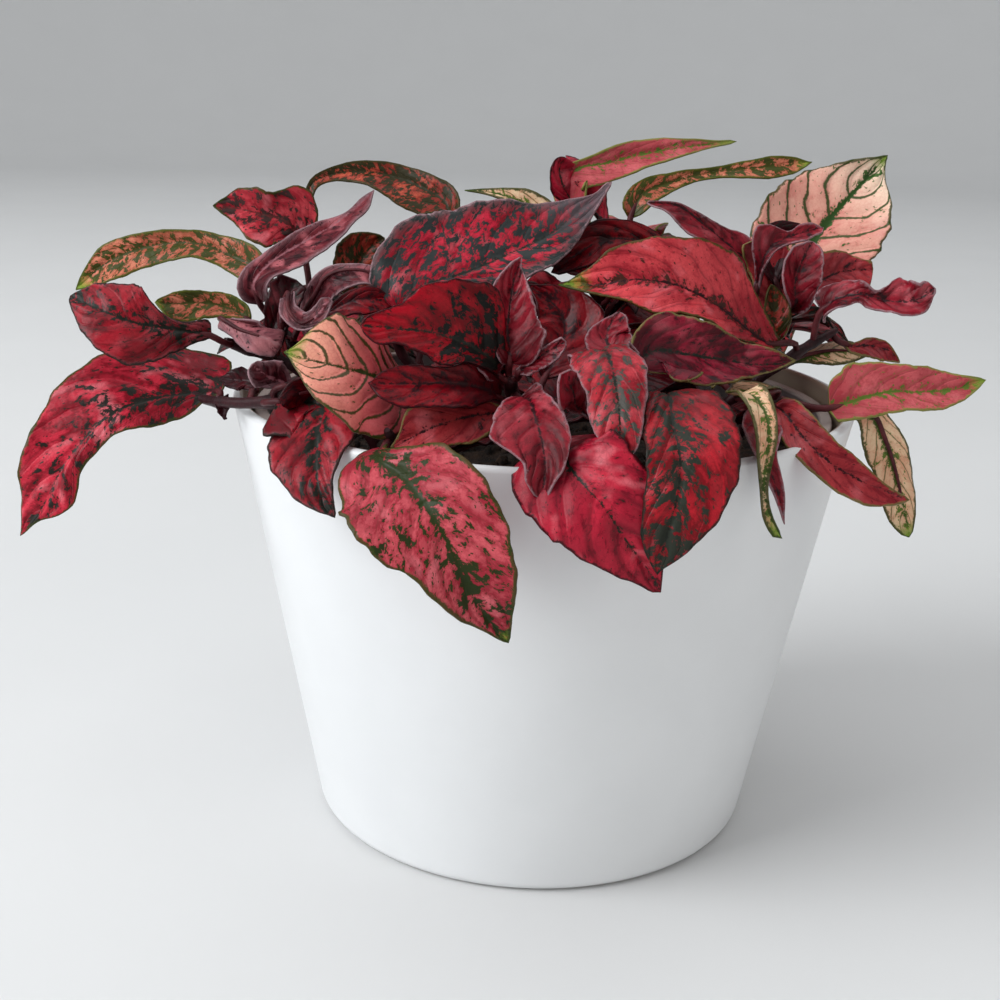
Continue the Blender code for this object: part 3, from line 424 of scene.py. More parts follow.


# Stem, place along it, heading in degrees, length, lift, width and look of the leaves inside the plant.
# Rows with the dark look are leaves in painted shade.
INNER_LEAVES = [
    ("left_back", 0.50, 205, 24, 4, 16, "crimson_spotted"),
    ("left_back", 0.60, 110, 28, 9, 18, "splashed"),
    ("left_middle", 0.45, 300, 22, 5, 15, "crimson"),
    ("centre_left", 0.50, 330, 26, 4, 17, "crimson"),
    ("centre_left", 0.62, 120, 24, 8, 16, "ribbed"),
    ("centre", 0.45, 60, 24, 8, 17, "crimson"),
    ("centre", 0.40, 165, 22, 3, 15, "dark"),
    ("front_left", 0.45, 80, 18, 3, 13, "crimson"),
    ("front_right", 0.45, 20, 22, 4, 15, "crimson"),
    ("front_right", 0.50, 190, 20, 4, 14, "dark"),
    ("centre", 0.35, 115, 20, 3, 15, "dark"),
    ("front_left", 0.40, 35, 20, 3, 14, "dark"),
    ("front_right", 0.40, 60, 20, 3, 15, "dark"),
    ("right", 0.50, 240, 22, 6, 16, "wine"),
    ("right", 0.35, 200, 24, 4, 16, "dark"),
    ("right", 0.30, 285, 16, 3, 13, "crimson"),
    ("right_back", 0.45, 190, 26, 9, 18, "crimson"),
    ("right_back", 0.60, 350, 26, 8, 17, "splashed_dark"),
    ("right_back", 0.70, 80, 24, 9, 16, "bright"),
    ("back", 0.45, 200, 28, 9, 19, "crimson"),
    ("back", 0.50, 20, 28, 9, 18, "crimson_spotted"),
    ("back", 0.62, 290, 24, 8, 16, "dark"),
    ("back", 0.80, 130, 26, 8, 17, "splashed"),
    ("back", 0.85, 60, 24, 8, 16, "pink_green"),
    ("back_left", 0.55, 330, 24, 7, 17, "crimson"),
    ("back_left", 0.70, 240, 26, 7, 17, "splashed"),
    ("back_left", 0.60, 90, 28, 5, 18, "splashed_dark"),
    ("back_right", 0.55, 150, 24, 7, 17, "ribbed"),
    ("back_right", 0.70, 330, 24, 7, 16, "crimson"),
    ("back_right", 0.60, 60, 28, 4, 18, "coral"),
    ("centre_left", 0.45, 30, 24, 5, 16, "crimson"),
    ("centre_left", 0.40, 80, 22, 4, 15, "ribbed"),
    ("back", 0.40, 250, 26, 5, 17, "splashed_dark"),
    ("back", 0.42, 320, 26, 5, 16, "crimson"),
    ("right_back", 0.40, 215, 26, 4, 16, "splashed"),
    ("centre", 0.42, 20, 24, 5, 16, "ribbed"),
    ("right", 0.40, 150, 24, 4, 15, "splashed_dark"),
    ("back_left", 0.80, 150, 26, 6, 18, "pink_flecked"),
    ("back_left", 0.45, 60, 26, 7, 17, "ribbed"),
    ("back_left", 0.85, 20, 22, 8, 15, "rose"),
    ("back", 0.70, 100, 28, 7, 18, "splashed_dark"),
    ("back", 0.60, 30, 26, 8, 17, "bright"),
    ("back", 0.55, 150, 26, 7, 17, "ribbed"),
    ("back_right", 0.85, 100, 22, 8, 16, "splashed"),
    ("back_right", 0.50, 20, 28, 5, 17, "splashed_dark"),
    ("back_right", 0.75, 200, 22, 8, 16, "crimson"),
    ("right_back", 0.50, 40, 26, 6, 17, "ribbed"),
    ("right", 0.55, 100, 22, 5, 15, "coral"),
    ("left_middle", 0.60, 160, 22, 5, 15, "splashed_dark"),
    ("left_back", 0.55, 160, 24, 6, 16, "bright"),
]


@dataclass
class Look:
    """How a kind of leaf is coloured. Widths and sizes are in millimetres; shares run from 0 to 1.

    spots is how much of the blade the blotches cover beside the midrib, pepper how much of it they cover
    further than spread away, and fade how far they thin out towards the tip. veins is how dark the side
    veins are, and more_veins adds pairs of them. halo colours a soft band inside the rim, which in lilac is
    partly painted sheen, far the half of the blade towards the tip, and one more share sets how strong the
    pale pink patches of painted sheen are.
    """

    slot: str
    face: tuple
    shade: tuple
    spot: tuple
    spots: float
    spread: float
    rim: tuple
    vein: tuple
    pepper: float = 0.12
    size: float = 2.2
    fade: float = 0.0
    veins: float = 0.2
    vein_width: float = 0.16
    rib_width: float = 0.35
    rim_width: float = 0.4
    halo: tuple = None
    halo_width: float = 2.0
    halo_share: float = 0.6
    far: tuple = None
    tip: tuple = None
    tip_reach: float = 0.12
    painted_sheen: float = 0.0
    more_veins: int = 0
    under: tuple = srgb(140, 84, 92)


BLACK_GREEN = srgb(24, 28, 22)
MOSS = srgb(50, 62, 18)
LEAF_GREEN = srgb(118, 146, 44)
# Lilac of the leaf margins: partly their own pale edge, partly painted sheen where light grazes the edges.
LILAC_EDGE_AND_SHEEN = srgb(146, 114, 120)
MAROON = srgb(40, 6, 12)
# Painted sheen: pale pink patches that stand in for soft highlights on the leaves.
PAINTED_SHEEN_PINK = srgb(224, 124, 132)

LOOKS = {
    "splashed": Look("leaf_mottled", srgb(206, 46, 66), srgb(126, 10, 28), srgb(34, 30, 26), 0.52, 8,
                     MOSS, BLACK_GREEN, pepper=0.22, size=2.3, fade=0.45, painted_sheen=0.5),
    "splashed_dark": Look("leaf_mottled", srgb(178, 30, 42), srgb(112, 10, 20), srgb(38, 42, 34), 0.54,
                          7, BLACK_GREEN, BLACK_GREEN, pepper=0.20, size=2.1, painted_sheen=0.1),
    "ribbed": Look("leaf_mottled", srgb(164, 28, 42), srgb(98, 8, 20), BLACK_GREEN, 0.50, 5,
                   BLACK_GREEN, BLACK_GREEN, pepper=0.08, size=1.9, halo=LILAC_EDGE_AND_SHEEN, halo_width=1.2,
                   halo_share=0.25, painted_sheen=0.15),
    "slate": Look("leaf_mottled", srgb(200, 38, 62), srgb(134, 10, 30), srgb(40, 44, 44), 0.50, 12,
                  LILAC_EDGE_AND_SHEEN, BLACK_GREEN, pepper=0.44, size=1.9, halo=srgb(74, 66, 68), halo_width=4.0,
                  halo_share=0.9, tip=srgb(98, 82, 88), tip_reach=0.36, rim_width=0.2, painted_sheen=0.3),
    "slate_red": Look("leaf_mottled", srgb(184, 50, 60), srgb(124, 18, 30), srgb(64, 62, 56), 0.46, 6,
                      LILAC_EDGE_AND_SHEEN, BLACK_GREEN, pepper=0.24, size=2.0, halo=LILAC_EDGE_AND_SHEEN, halo_width=0.9,
                      halo_share=0.4, rim_width=0.2, painted_sheen=0.2),
    "bright": Look("leaf_red", srgb(184, 34, 56), srgb(112, 7, 28), BLACK_GREEN, 0.16, 2.0, MAROON,
                   BLACK_GREEN, pepper=0.01, size=1.4, veins=0.12, rib_width=0.3, painted_sheen=0.45),
    "coral": Look("leaf_red", srgb(208, 68, 74), srgb(152, 30, 42), srgb(66, 30, 22), 0.46, 3.2, MOSS,
                  MAROON, pepper=0.05, size=1.7, veins=0.3, tip=LEAF_GREEN, tip_reach=0.14, painted_sheen=0.4),
    "brick": Look("leaf_red", srgb(176, 56, 60), srgb(122, 24, 34), MAROON, 0.06, 3, srgb(112, 104, 60),
                  MAROON, pepper=0.04, rim_width=0.3, rib_width=0.25, painted_sheen=0.3),
    "crimson": Look("leaf_crimson", srgb(130, 8, 22), srgb(70, 2, 11), MAROON, 0.30, 5, MAROON, MAROON,
                    veins=0.12, rim_width=0.2),
    "crimson_spotted": Look("leaf_crimson", srgb(166, 6, 28), srgb(104, 3, 14), srgb(16, 18, 16), 0.62,
                            8, MAROON, BLACK_GREEN, pepper=0.40, fade=0.9, size=2.0, rim_width=0.25),
    # Painted shade: darkest crimson, the colour leaves show in shadow deep in the plant.
    "dark": Look("leaf_crimson", srgb(84, 10, 20), srgb(42, 3, 9), BLACK_GREEN, 0.26, 7, MAROON, MAROON,
                 pepper=0.10, painted_sheen=0.05),
    "pink_flecked": Look("leaf_pink", srgb(202, 86, 94), srgb(150, 36, 50), srgb(38, 48, 16), 0.50, 4.0,
                         MOSS, srgb(38, 48, 16), pepper=0.27, size=1.9, rib_width=0.8, rim_width=0.6,
                         tip=LEAF_GREEN, tip_reach=0.06, painted_sheen=0.4),
    "pink_green": Look("leaf_pink", srgb(196, 90, 94), srgb(158, 54, 62), srgb(84, 104, 36), 0.34, 2.4,
                       srgb(120, 128, 60), srgb(84, 104, 36), pepper=0.08, size=1.6, tip=LEAF_GREEN,
                       tip_reach=0.14, painted_sheen=0.15),
    "streaked": Look("leaf_pink", srgb(212, 76, 84), srgb(158, 30, 44), srgb(60, 40, 38), 0.46, 7, MOSS,
                     srgb(96, 40, 40), pepper=0.20, painted_sheen=0.7),
    "pale_veined": Look("leaf_pale", srgb(206, 88, 92), srgb(182, 64, 72), MOSS, 0.14, 2.0, MOSS,
                        srgb(48, 52, 14), pepper=0.01, veins=0.95, vein_width=0.32, rib_width=0.8,
                        more_veins=3, far=srgb(232, 168, 140), tip=LEAF_GREEN, painted_sheen=0.2),
    "cream_veined": Look("leaf_pale", srgb(226, 164, 146), srgb(208, 124, 114), srgb(64, 96, 44), 0.36,
                         3.4, MOSS, srgb(42, 70, 26), pepper=0.08, veins=0.95, vein_width=0.50,
                         rib_width=1.5, far=srgb(240, 222, 196), tip=LEAF_GREEN),
    "cream_green": Look("leaf_pale", srgb(234, 204, 166), srgb(212, 156, 124), srgb(92, 112, 42), 0.36,
                        3, MOSS, srgb(64, 84, 26), pepper=0.14, veins=0.8, vein_width=0.3,
                        rib_width=0.8, tip=LEAF_GREEN, rim_width=0.6, under=srgb(228, 194, 148),
                        painted_sheen=0.1),
    "olive": Look("leaf_salmon", srgb(214, 130, 102), srgb(164, 82, 60), srgb(60, 64, 20), 0.50, 7,
                  srgb(82, 88, 28), srgb(60, 62, 20), pepper=0.34, size=1.7, veins=0.5,
                  halo=srgb(92, 90, 32), halo_width=1.0, tip=LEAF_GREEN, tip_reach=0.10,
                  under=srgb(200, 142, 106), painted_sheen=0.1),
    "rust": Look("leaf_salmon", srgb(190, 84, 60), srgb(126, 38, 28), srgb(44, 40, 16), 0.52, 7,
                 srgb(58, 54, 22), srgb(44, 40, 16), pepper=0.38, size=1.7, halo=srgb(56, 52, 24),
                 halo_width=1.2, halo_share=0.7, under=srgb(164, 92, 76), painted_sheen=0.1),
    # Painted light: a paler copy of the mauve look, for a mauve leaf that the lamps leave in shade.
    "dusty": Look("leaf_mauve", srgb(168, 104, 108), srgb(120, 62, 70), MAROON, 0.20, 5, LILAC_EDGE_AND_SHEEN,
                  srgb(150, 100, 104), veins=0.12, halo=LILAC_EDGE_AND_SHEEN, halo_width=1.8, halo_share=0.4,
                  under=srgb(184, 130, 130), rim_width=0.2, painted_sheen=0.3),
    "mauve": Look("leaf_mauve", srgb(118, 42, 50), srgb(62, 10, 20), MAROON, 0.22, 5, LILAC_EDGE_AND_SHEEN,
                  srgb(140, 84, 92), veins=0.12, halo=LILAC_EDGE_AND_SHEEN, halo_width=1.8, halo_share=0.4,
                  under=srgb(144, 90, 96), rim_width=0.2, painted_sheen=0.5),
    "rose": Look("leaf_magenta", srgb(146, 26, 42), srgb(84, 6, 18), MAROON, 0.18, 4, LILAC_EDGE_AND_SHEEN, MAROON,
                 pepper=0.05, veins=0.12, halo=LILAC_EDGE_AND_SHEEN, halo_width=0.7, halo_share=0.25, rim_width=0.15,
                 painted_sheen=0.25),
    "wine": Look("leaf_magenta", srgb(142, 20, 46), srgb(76, 4, 20), srgb(40, 10, 16), 0.34, 6,
                 srgb(112, 104, 60), BLACK_GREEN, rim_width=0.25, painted_sheen=0.2),
}

LEAF_SAMPLES = 240  # steps along a leaf's midrib
LEAF_MIDDLE = 0.45  # share of the blade at which a leaf's face is set
STALK_RADIUS = 0.65
STALK_SHARE_LIMIT = 0.45  # the most of a leaf's line that its stalk takes
RIB_END = 0.8  # share of the blade at which the raised rib under it ends
RIB_STEP = 6  # midrib samples between two points of the rib
SMOOTH_STEPS = 24  # steps between two points of a route
STEM_START = 84.0  # height of a stem's foot, inside the soil
COLLAR = 89.0  # height at which a stem starts to lean
STEM_POINTS = 48
JOINT_REACH = 0.035  # share of a stem that swells beside a leaf's joint
WIDE_LEAF = 12.0  # a leaf up to this width has a coarser grid and one pair of side veins fewer
TEETH = (7, 15)  # coarse and fine teeth along a margin
SWEEP = 0.30  # how far along the blade a side vein runs before it meets the margin
SLANT = math.sqrt(2)


def smooth_curve(points, start=None):
    """Dense points of a smooth curve through the given points."""
    knots = [Vector(p) for p in points]
    times = [0.0]
    for a, b in zip(knots, knots[1:]):
        times.append(times[-1] + math.sqrt((b - a).length))
    rates = [(b - a) / (t - s) for a, b, s, t in zip(knots, knots[1:], times, times[1:])]
    slopes = [rates[0]]
    for i in range(1, len(knots) - 1):
        before = times[i] - times[i - 1]
        after = times[i + 1] - times[i]
        slopes.append((rates[i - 1] * after + rates[i] * before) / (before + after))
    slopes.append(1.5 * rates[-1] - 0.5 * slopes[-1])
    if start is None:
        slopes[0] = 1.5 * rates[0] - 0.5 * slopes[1]
    else:
        slopes[0] = start.normalized() * rates[0].length
    line = [knots[0]]
    for i in range(len(knots) - 1):
        reach = (times[i + 1] - times[i]) / 3
        line += interpolate_bezier(knots[i], knots[i] + slopes[i] * reach,
                                   knots[i + 1] - slopes[i + 1] * reach, knots[i + 1], SMOOTH_STEPS + 1)[1:]
    return line


def even_points(line, count):
    """Points at equal steps along a line, and the line's length."""
    reach = [0.0]
    for a, b in zip(line, line[1:]):
        reach.append(reach[-1] + (b - a).length)
    points = []
    k = 0
    for i in range(count):
        target = reach[-1] * i / (count - 1)
        while k < len(line) - 2 and reach[k + 1] < target:
            k += 1
        points.append(line[k].lerp(line[k + 1], (target - reach[k]) / (reach[k + 1] - reach[k])))
    return points, reach[-1]


def directions(points):
    """Unit tangents along evenly spaced points."""
    last = len(points) - 1
    return [(points[min(i + 1, last)] - points[max(i - 1, 0)]).normalized() for i in range(last + 1)]


def stem_points(stem, count):
    """Points from a stem's foot in the soil to its tip."""
    x, y = stem.foot
    upright = [(x, y, STEM_START), (x, y, (STEM_START + COLLAR) / 2), (x, y, COLLAR)]
    return even_points(smooth_curve(upright + stem.route), count)[0]


def leaf_joint(leaf):
    """The stem's centre where a leaf's stalk starts, the stalk's own start, and the way it leaves."""
    stem = STEMS[leaf.stem]
    points = stem_points(stem, LEAF_SAMPLES + 1)
    index = round(leaf.along * LEAF_SAMPLES)
    along = directions(points)[index]
    radius = stem.foot_radius + (stem.tip_radius - stem.foot_radius) * leaf.along
    out = Vector(leaf.leave) if leaf.leave else Vector(leaf.route[0]) - points[index]
    out = (out - along * out.dot(along)).normalized()
    return points[index], points[index] + out * radius, out + 0.25 * along


class Midrib:
    """A leaf's centre line with its tangents and the normals of its upper face."""

    def __init__(self, leaf):
        self.root, foot, out = leaf_joint(leaf)
        self.points, self.length = even_points(smooth_curve([foot] + leaf.route, out), LEAF_SAMPLES + 1)
        self.share = min(STALK_SHARE_LIMIT, leaf.stalk / self.length)
        self.tangents = directions(self.points)
        middle = int((self.share + (1 - self.share) * LEAF_MIDDLE) * LEAF_SAMPLES)
        normals = [Vector(leaf.face)] * len(self.points)
        along = self.tangents[middle]
        normals[middle] = (normals[middle] - along * normals[middle].dot(along)).normalized()
        for steps in (range(middle + 1, len(self.points)), range(middle - 1, -1, -1)):
            previous = normals[middle]
            for i in steps:
                previous = (previous - self.tangents[i] * previous.dot(self.tangents[i])).normalized()
                normals[i] = previous
        for i, (tangent, normal) in enumerate(zip(self.tangents, normals)):
            turn = math.radians(leaf.twist) * (self.blade_share(i / LEAF_SAMPLES) - LEAF_MIDDLE)
            normals[i] = normal * math.cos(turn) + tangent.cross(normal) * math.sin(turn)
        self.normals = normals

    def blade_share(self, place):
        """How far along the blade a place on the whole line is, below 0 on the stalk."""
        return (place - self.share) / (1 - self.share)

    def at(self, place):
        """Point, tangent and normal at a place from 0 to 1 along the whole line."""
        i = min(int(place * LEAF_SAMPLES), LEAF_SAMPLES - 1)
        part = place * LEAF_SAMPLES - i
        return (self.points[i].lerp(self.points[i + 1], part),
                self.tangents[i].lerp(self.tangents[i + 1], part).normalized(),
                self.normals[i].lerp(self.normals[i + 1], part).normalized())


class BladeRelief:
    """The small shapes of one leaf's blade: its margin, its veins and the quilting between them."""

    def __init__(self, leaf, sizes):
        dice = random.Random(leaf.name)
        self.sizes = sizes
        self.width = leaf.width
        self.pairs = sizes.vein_pairs - (leaf.width <= WIDE_LEAF) + LOOKS[leaf.look].more_veins
        self.phases = [dice.uniform(0, 2 * math.pi) for _ in range(6)]
        self.waves = dice.uniform(1.8, 2.6)
        self.sweep = SWEEP + dice.uniform(-0.03, 0.03)

    def margin(self, side, s):
        """Factor on the half width that gives the margin its shallow teeth."""
        phase = self.phases[side]
        coarse, fine = TEETH
        return (1 + self.sizes.margin_teeth * math.sin(2 * math.pi * coarse * s + phase)
                + 0.6 * self.sizes.margin_teeth * math.sin(2 * math.pi * fine * s + 2 * phase))

    def vein(self, s, reach):
        """Vein count at a place: each whole number is a side vein that curves towards the tip."""
        return (s - self.sweep * reach ** 1.35) * (self.pairs + 0.5) + 0.35

    def rise(self, s, reach, half_width, side):
        """Height of the relief above the plain blade, in millimetres."""
        quilt = abs(math.sin(math.pi * self.vein(s, reach))) ** 0.6 - 0.6
        swell = math.sin(math.pi * min(1, reach) ** 0.8) * min(1, half_width / 4)
        groove = math.exp(-((reach * half_width / 0.8) ** 2))
        wave = math.sin(2 * math.pi * self.waves * s + self.phases[2 + side])
        flutter = wave * reach ** 3 * min(1, half_width / 5)
        return (self.sizes.quilting * self.width * quilt * swell
                - self.sizes.rib_groove / MM * groove * min(1, half_width / 3)
                + self.sizes.flutter * self.width * flutter)


def blade_outline(leaf, s, side):
    """Half width of one side of the blade at s, in millimetres."""
    if not leaf.edges:
        return leaf.width / 2 * abs(math.sin(math.pi * s ** leaf.breadth)) ** (1 + leaf.taper * s)
    edge = leaf.edges[side]
    rows = (-edge[0], 0.0, *edge, 0.0, -edge[-1])
    place = math.acos(min(1, max(-1, 1 - 2 * s))) / math.pi * (len(edge) + 1)
    i = min(int(place), len(edge))
    t = place - i
    a, b, c, d = rows[i:i + 4]
    return max(0.0, b + t / 2 * (c - a + t * (2 * a - 5 * b + 4 * c - d + t * (3 * (b - c) + d - a))))


def blade_section(leaf, half_width, side, reach, s):
    """Offset across and up from the midrib of a plain, cupped and folded blade."""
    cup = leaf.cup[side]
    fold = leaf.fold[side]
    across = half_width * math.sin(cup * reach) / cup
    rise = half_width * (1 - math.cos(cup * reach)) / cup
    x = across * math.cos(fold) - rise * math.sin(fold)
    z = across * math.sin(fold) + rise * math.cos(fold)
    wave = math.sin(2 * math.pi * (2 * s + (0.37 if side else 0)))
    return x, z + leaf.ripple * reach ** 2 * wave * min(1, half_width / 3)


# ---------------------------------------------------------------- materials

SPOT_EDGE = (0.65, 0.695)  # score at which a blotch starts, and at which it is full
FLECK_EDGE = (0.70, 0.75)
LEAF_SPECULAR = 0.17
STEM_SPECULAR = 0.2


class Pattern:
    """A material's nodes, added one step at a time. Places and distances are in millimetres."""

    def __init__(self, name):
        self.material = bpy.data.materials.new(name)
        self.material.use_nodes = True
        self.tree = self.material.node_tree
        self.shader = self.tree.nodes["Principled BSDF"]

    def node(self, kind, **settings):
        made = self.tree.nodes.new(kind)
        for key, value in settings.items():
            setattr(made, key, value)
        return made

    def feed(self, socket, value):
        """Link an output to a socket, or set the socket to a plain value."""
        if isinstance(value, bpy.types.NodeSocket):
            self.tree.links.new(value, socket)
        elif isinstance(value, tuple) and len(value) == 3 and socket.type == "RGBA":
            socket.default_value = (*value, 1.0)
        else:
            socket.default_value = value

    def math(self, operation, a, b=0.0):
        made = self.node("ShaderNodeMath", operation=operation)
        self.feed(made.inputs[0], a)
        self.feed(made.inputs[1], b)
        return made.outputs[0]

    def add(self, a, b):
        return self.math("ADD", a, b)

    def times(self, a, b):
        return self.math("MULTIPLY", a, b)

    def place(self):
        """The point being shaded, in millimetres."""
        coordinates = self.node("ShaderNodeTexCoord")
        scaled = self.node("ShaderNodeVectorMath", operation="SCALE")
        self.feed(scaled.inputs[0], coordinates.outputs["Object"])
        scaled.inputs["Scale"].default_value = 1 / MM
        return scaled.outputs[0]

    def parts(self, attribute):
        """The three numbers a mesh keeps at each point under an attribute's name."""
        made = self.node("ShaderNodeAttribute", attribute_name=attribute)
        split = self.node("ShaderNodeSeparateXYZ")
        self.feed(split.inputs[0], made.outputs["Vector"])
        return split.outputs[0], split.outputs[1], split.outputs[2]

    def noise(self, place, size, detail=3.0, roughness=0.55, distortion=0.0):
        """Cloudy noise from 0 to 1 with features of about the given size."""
        made = self.node("ShaderNodeTexNoise")
        self.feed(made.inputs["Vector"], place)
        made.inputs["Scale"].default_value = 1 / size
        made.inputs["Detail"].default_value = detail
        made.inputs["Roughness"].default_value = roughness
        made.inputs["Distortion"].default_value = distortion
        return made.outputs[0]

    def cells(self, place, size):
        """Distance from the walls of irregular cells, in cell sizes."""
        made = self.node("ShaderNodeTexVoronoi", feature="DISTANCE_TO_EDGE")
        self.feed(made.inputs["Vector"], place)
        made.inputs["Scale"].default_value = 1 / size
        return made.outputs["Distance"]

    def step(self, value, start, end, low=0.0, high=1.0):
        """A smooth step from low to high as value goes from start to end."""
        made = self.node("ShaderNodeMapRange", interpolation_type="SMOOTHSTEP")
        for socket, item in zip(made.inputs, (value, start, end, low, high)):
            self.feed(socket, item)
        return made.outputs[0]

    def mix(self, amount, base, other):
        """A colour between base and other."""
        made = self.node("ShaderNodeMix", data_type="RGBA")
        self.feed(made.inputs[0], amount)
        self.feed(made.inputs[6], base)
        self.feed(made.inputs[7], other)
        return made.outputs[2]

    def bump(self, height):
        """Relief from a height in millimetres."""
        made = self.node("ShaderNodeBump")
        made.inputs["Strength"].default_value = 1.0
        made.inputs["Distance"].default_value = MM
        self.feed(made.inputs["Height"], height)
        self.feed(self.shader.inputs["Normal"], made.outputs[0])

    def finish(self, colour, roughness, specular=0.5):
        """Set the surface's own values, the last step of every material."""
        self.shader.inputs["Specular IOR Level"].default_value = specular
        self.feed(self.shader.inputs["Base Color"], colour)
        self.feed(self.shader.inputs["Roughness"], roughness)
        return self.material


def leaf_material(name, look, under):
    """Mottled leaf: a bright ground with painted shade and painted sheen, jagged blotches along the ribs, a
    rib, side veins, a rim and a tip.
    """
    p = Pattern(f"{name}_{'under' if under else 'upper'}")
    place = p.place()
    rib, rim, reach = p.parts("blade_map")
    phase, gap, _ = p.parts("vein_map")
    spot_place = p.node("ShaderNodeAttribute", attribute_name="spot_map").outputs["Vector"]
    rib = p.math("ABSOLUTE", rib)
    groove = p.times(p.math("PINGPONG", phase, 0.5), gap)
    phase = p.add(phase, p.times(p.noise(place, 6, 0), 0.35))
    vein = p.times(p.math("PINGPONG", phase, 0.5), gap)
    jag = p.math("SUBTRACT", p.noise(place, 1.1, 3, 0.75), 0.5)
    rough_rib = p.add(rib, p.times(jag, 2.2))
    rough_vein = p.add(vein, p.times(jag, 1.0))
    rough_rim = p.add(rim, p.times(jag, 1.6))

    # Blotches: cloudy noise with a threshold that is lowered beside the midrib.
    near_rib = p.step(rib, 0.0, look.spread, look.spots, look.pepper)
    if look.fade:
        near_rib = p.times(near_rib, p.step(reach, 0.35, 0.75, 1.0, 1 - look.fade))
    blotch = p.noise(spot_place, look.size, 4, 0.68, 0.35)
    score = p.add(blotch, p.times(near_rib, 0.36))
    spots = p.step(score, *SPOT_EDGE)
    fleck = p.noise(spot_place, look.size * 0.35, 1, 0.6)
    flecks = p.step(p.add(fleck, p.times(near_rib, 0.14)), *FLECK_EDGE, 0.0, 0.9)
    spots = p.math("MAXIMUM", spots, flecks)

    # Ground: darker round the blotches and in random clouds; darker along the side veins and at the base as
    # painted shade, in the grooves between the quilted pillows and near the stem deep in the plant.
    cloud = p.noise(place, 9, 1, 0.5)
    depth = p.add(p.step(score, 0.50, 0.66, 0.0, 0.6), p.step(cloud, 0.42, 0.62, 0.0, 0.55))
    depth = p.add(depth, p.step(vein, 0.0, 1.6, 0.35, 0.0))
    depth = p.math("MINIMUM", p.add(depth, p.step(reach, 0.0, 0.35, 0.6, 0.0)), 1.0)
    colour = p.mix(depth, look.face, look.shade)
    # Painted sheen: pale pink patches laid over the ground by noise.
    if look.painted_sheen:
        sheen_noise = p.noise(spot_place, 5, 2, 0.55)
        patch = p.add(sheen_noise, p.times(p.step(cloud, 0.4, 0.6), -0.08))
        colour = p.mix(p.step(patch, 0.50, 0.66, 0.0, look.painted_sheen), colour, PAINTED_SHEEN_PINK)
    if look.far:
        colour = p.mix(p.step(reach, 0.50, 0.98, 0.0, 0.9), colour, look.far)
    net = p.cells(place, 0.9)
    colour = p.mix(p.step(net, 0.0, 0.14, 0.22, 0.0), colour, look.shade)
    # A soft band inside the rim; in lilac it is partly painted sheen.
    if look.halo:
        colour = p.mix(p.step(rough_rim, 0.0, look.halo_width, look.halo_share, 0.0), colour, look.halo)
    colour = p.mix(spots, colour, look.spot)

    # Lines: the midrib, the side veins, the tip and the rim.
    width = p.times(p.math("SUBTRACT", 1.1, reach), look.rib_width)
    rib_line = p.step(p.math("SUBTRACT", rough_rib, width), -0.15, 0.2, 1.0, 0.0)
    vein_line = p.step(rough_vein, look.vein_width * 0.5, look.vein_width + 0.22, look.veins, 0.0)
    colour = p.mix(p.math("MAXIMUM", rib_line, vein_line), colour, look.vein)
    if look.tip:
        tip = p.step(p.add(reach, p.times(jag, 0.10)), 1 - look.tip_reach, 1.0)
        colour = p.mix(tip, colour, look.tip)
    # The rim line; in lilac it is partly painted sheen along the edge.
    rim_line = p.step(rough_rim, look.rim_width - 0.2, look.rim_width + 0.25, 0.9, 0.0)
    colour = p.mix(rim_line, colour, look.rim)
    if under:
        colour = p.mix(0.68, colour, look.under)

    side = -1.0 if under else 1.0
    height = p.times(p.step(groove, 0.0, 0.7, -0.07, 0.0), side)
    p.bump(p.add(height, p.times(p.noise(place, 3.0, 2), 0.28)))
    gloss = p.add(p.times(cloud, 0.20), 0.50 if under else 0.28)
    return p.finish(colour, p.add(gloss, p.times(spots, 0.05)), LEAF_SPECULAR)


def stem_material(name, colour, tip_colour):
    """Stem skin: dark maroon with fine long streaks and paler patches."""
    p = Pattern(name)
    place = p.place()
    stretched = p.node("ShaderNodeMapping")
    stretched.inputs["Scale"].default_value = (1.0, 1.0, 0.25)
    p.feed(stretched.inputs["Vector"], place)
    streak = p.noise(stretched.outputs[0], 0.7, 4, 0.6)
    tone = p.mix(p.step(p.noise(place, 4.0), 0.35, 0.7), colour, tip_colour)
    tone = p.mix(p.step(streak, 0.5, 0.75, 0.0, 0.25), tone, srgb(92, 46, 52))
    p.bump(p.times(streak, 0.12))
    return p.finish(tone, p.add(p.times(streak, 0.2), 0.36), STEM_SPECULAR)


def soil_material(colour):
    """Damp peat: near black with brown fibres and a few pale grains."""
    p = Pattern("soil_peat")
    place = p.place()
    coarse = p.noise(place, 2.6, 6, 0.7)
    fine = p.noise(place, 0.6, 4, 0.6)
    tone = p.mix(p.step(coarse, 0.35, 0.7), colour, srgb(74, 52, 38))
    tone = p.mix(p.step(fine, 0.66, 0.72, 0.0, 0.7), tone, srgb(128, 100, 74))
    p.bump(p.add(p.times(coarse, 1.2), p.times(fine, 0.5)))
    return p.finish(tone, p.add(p.times(fine, 0.1), 0.85))


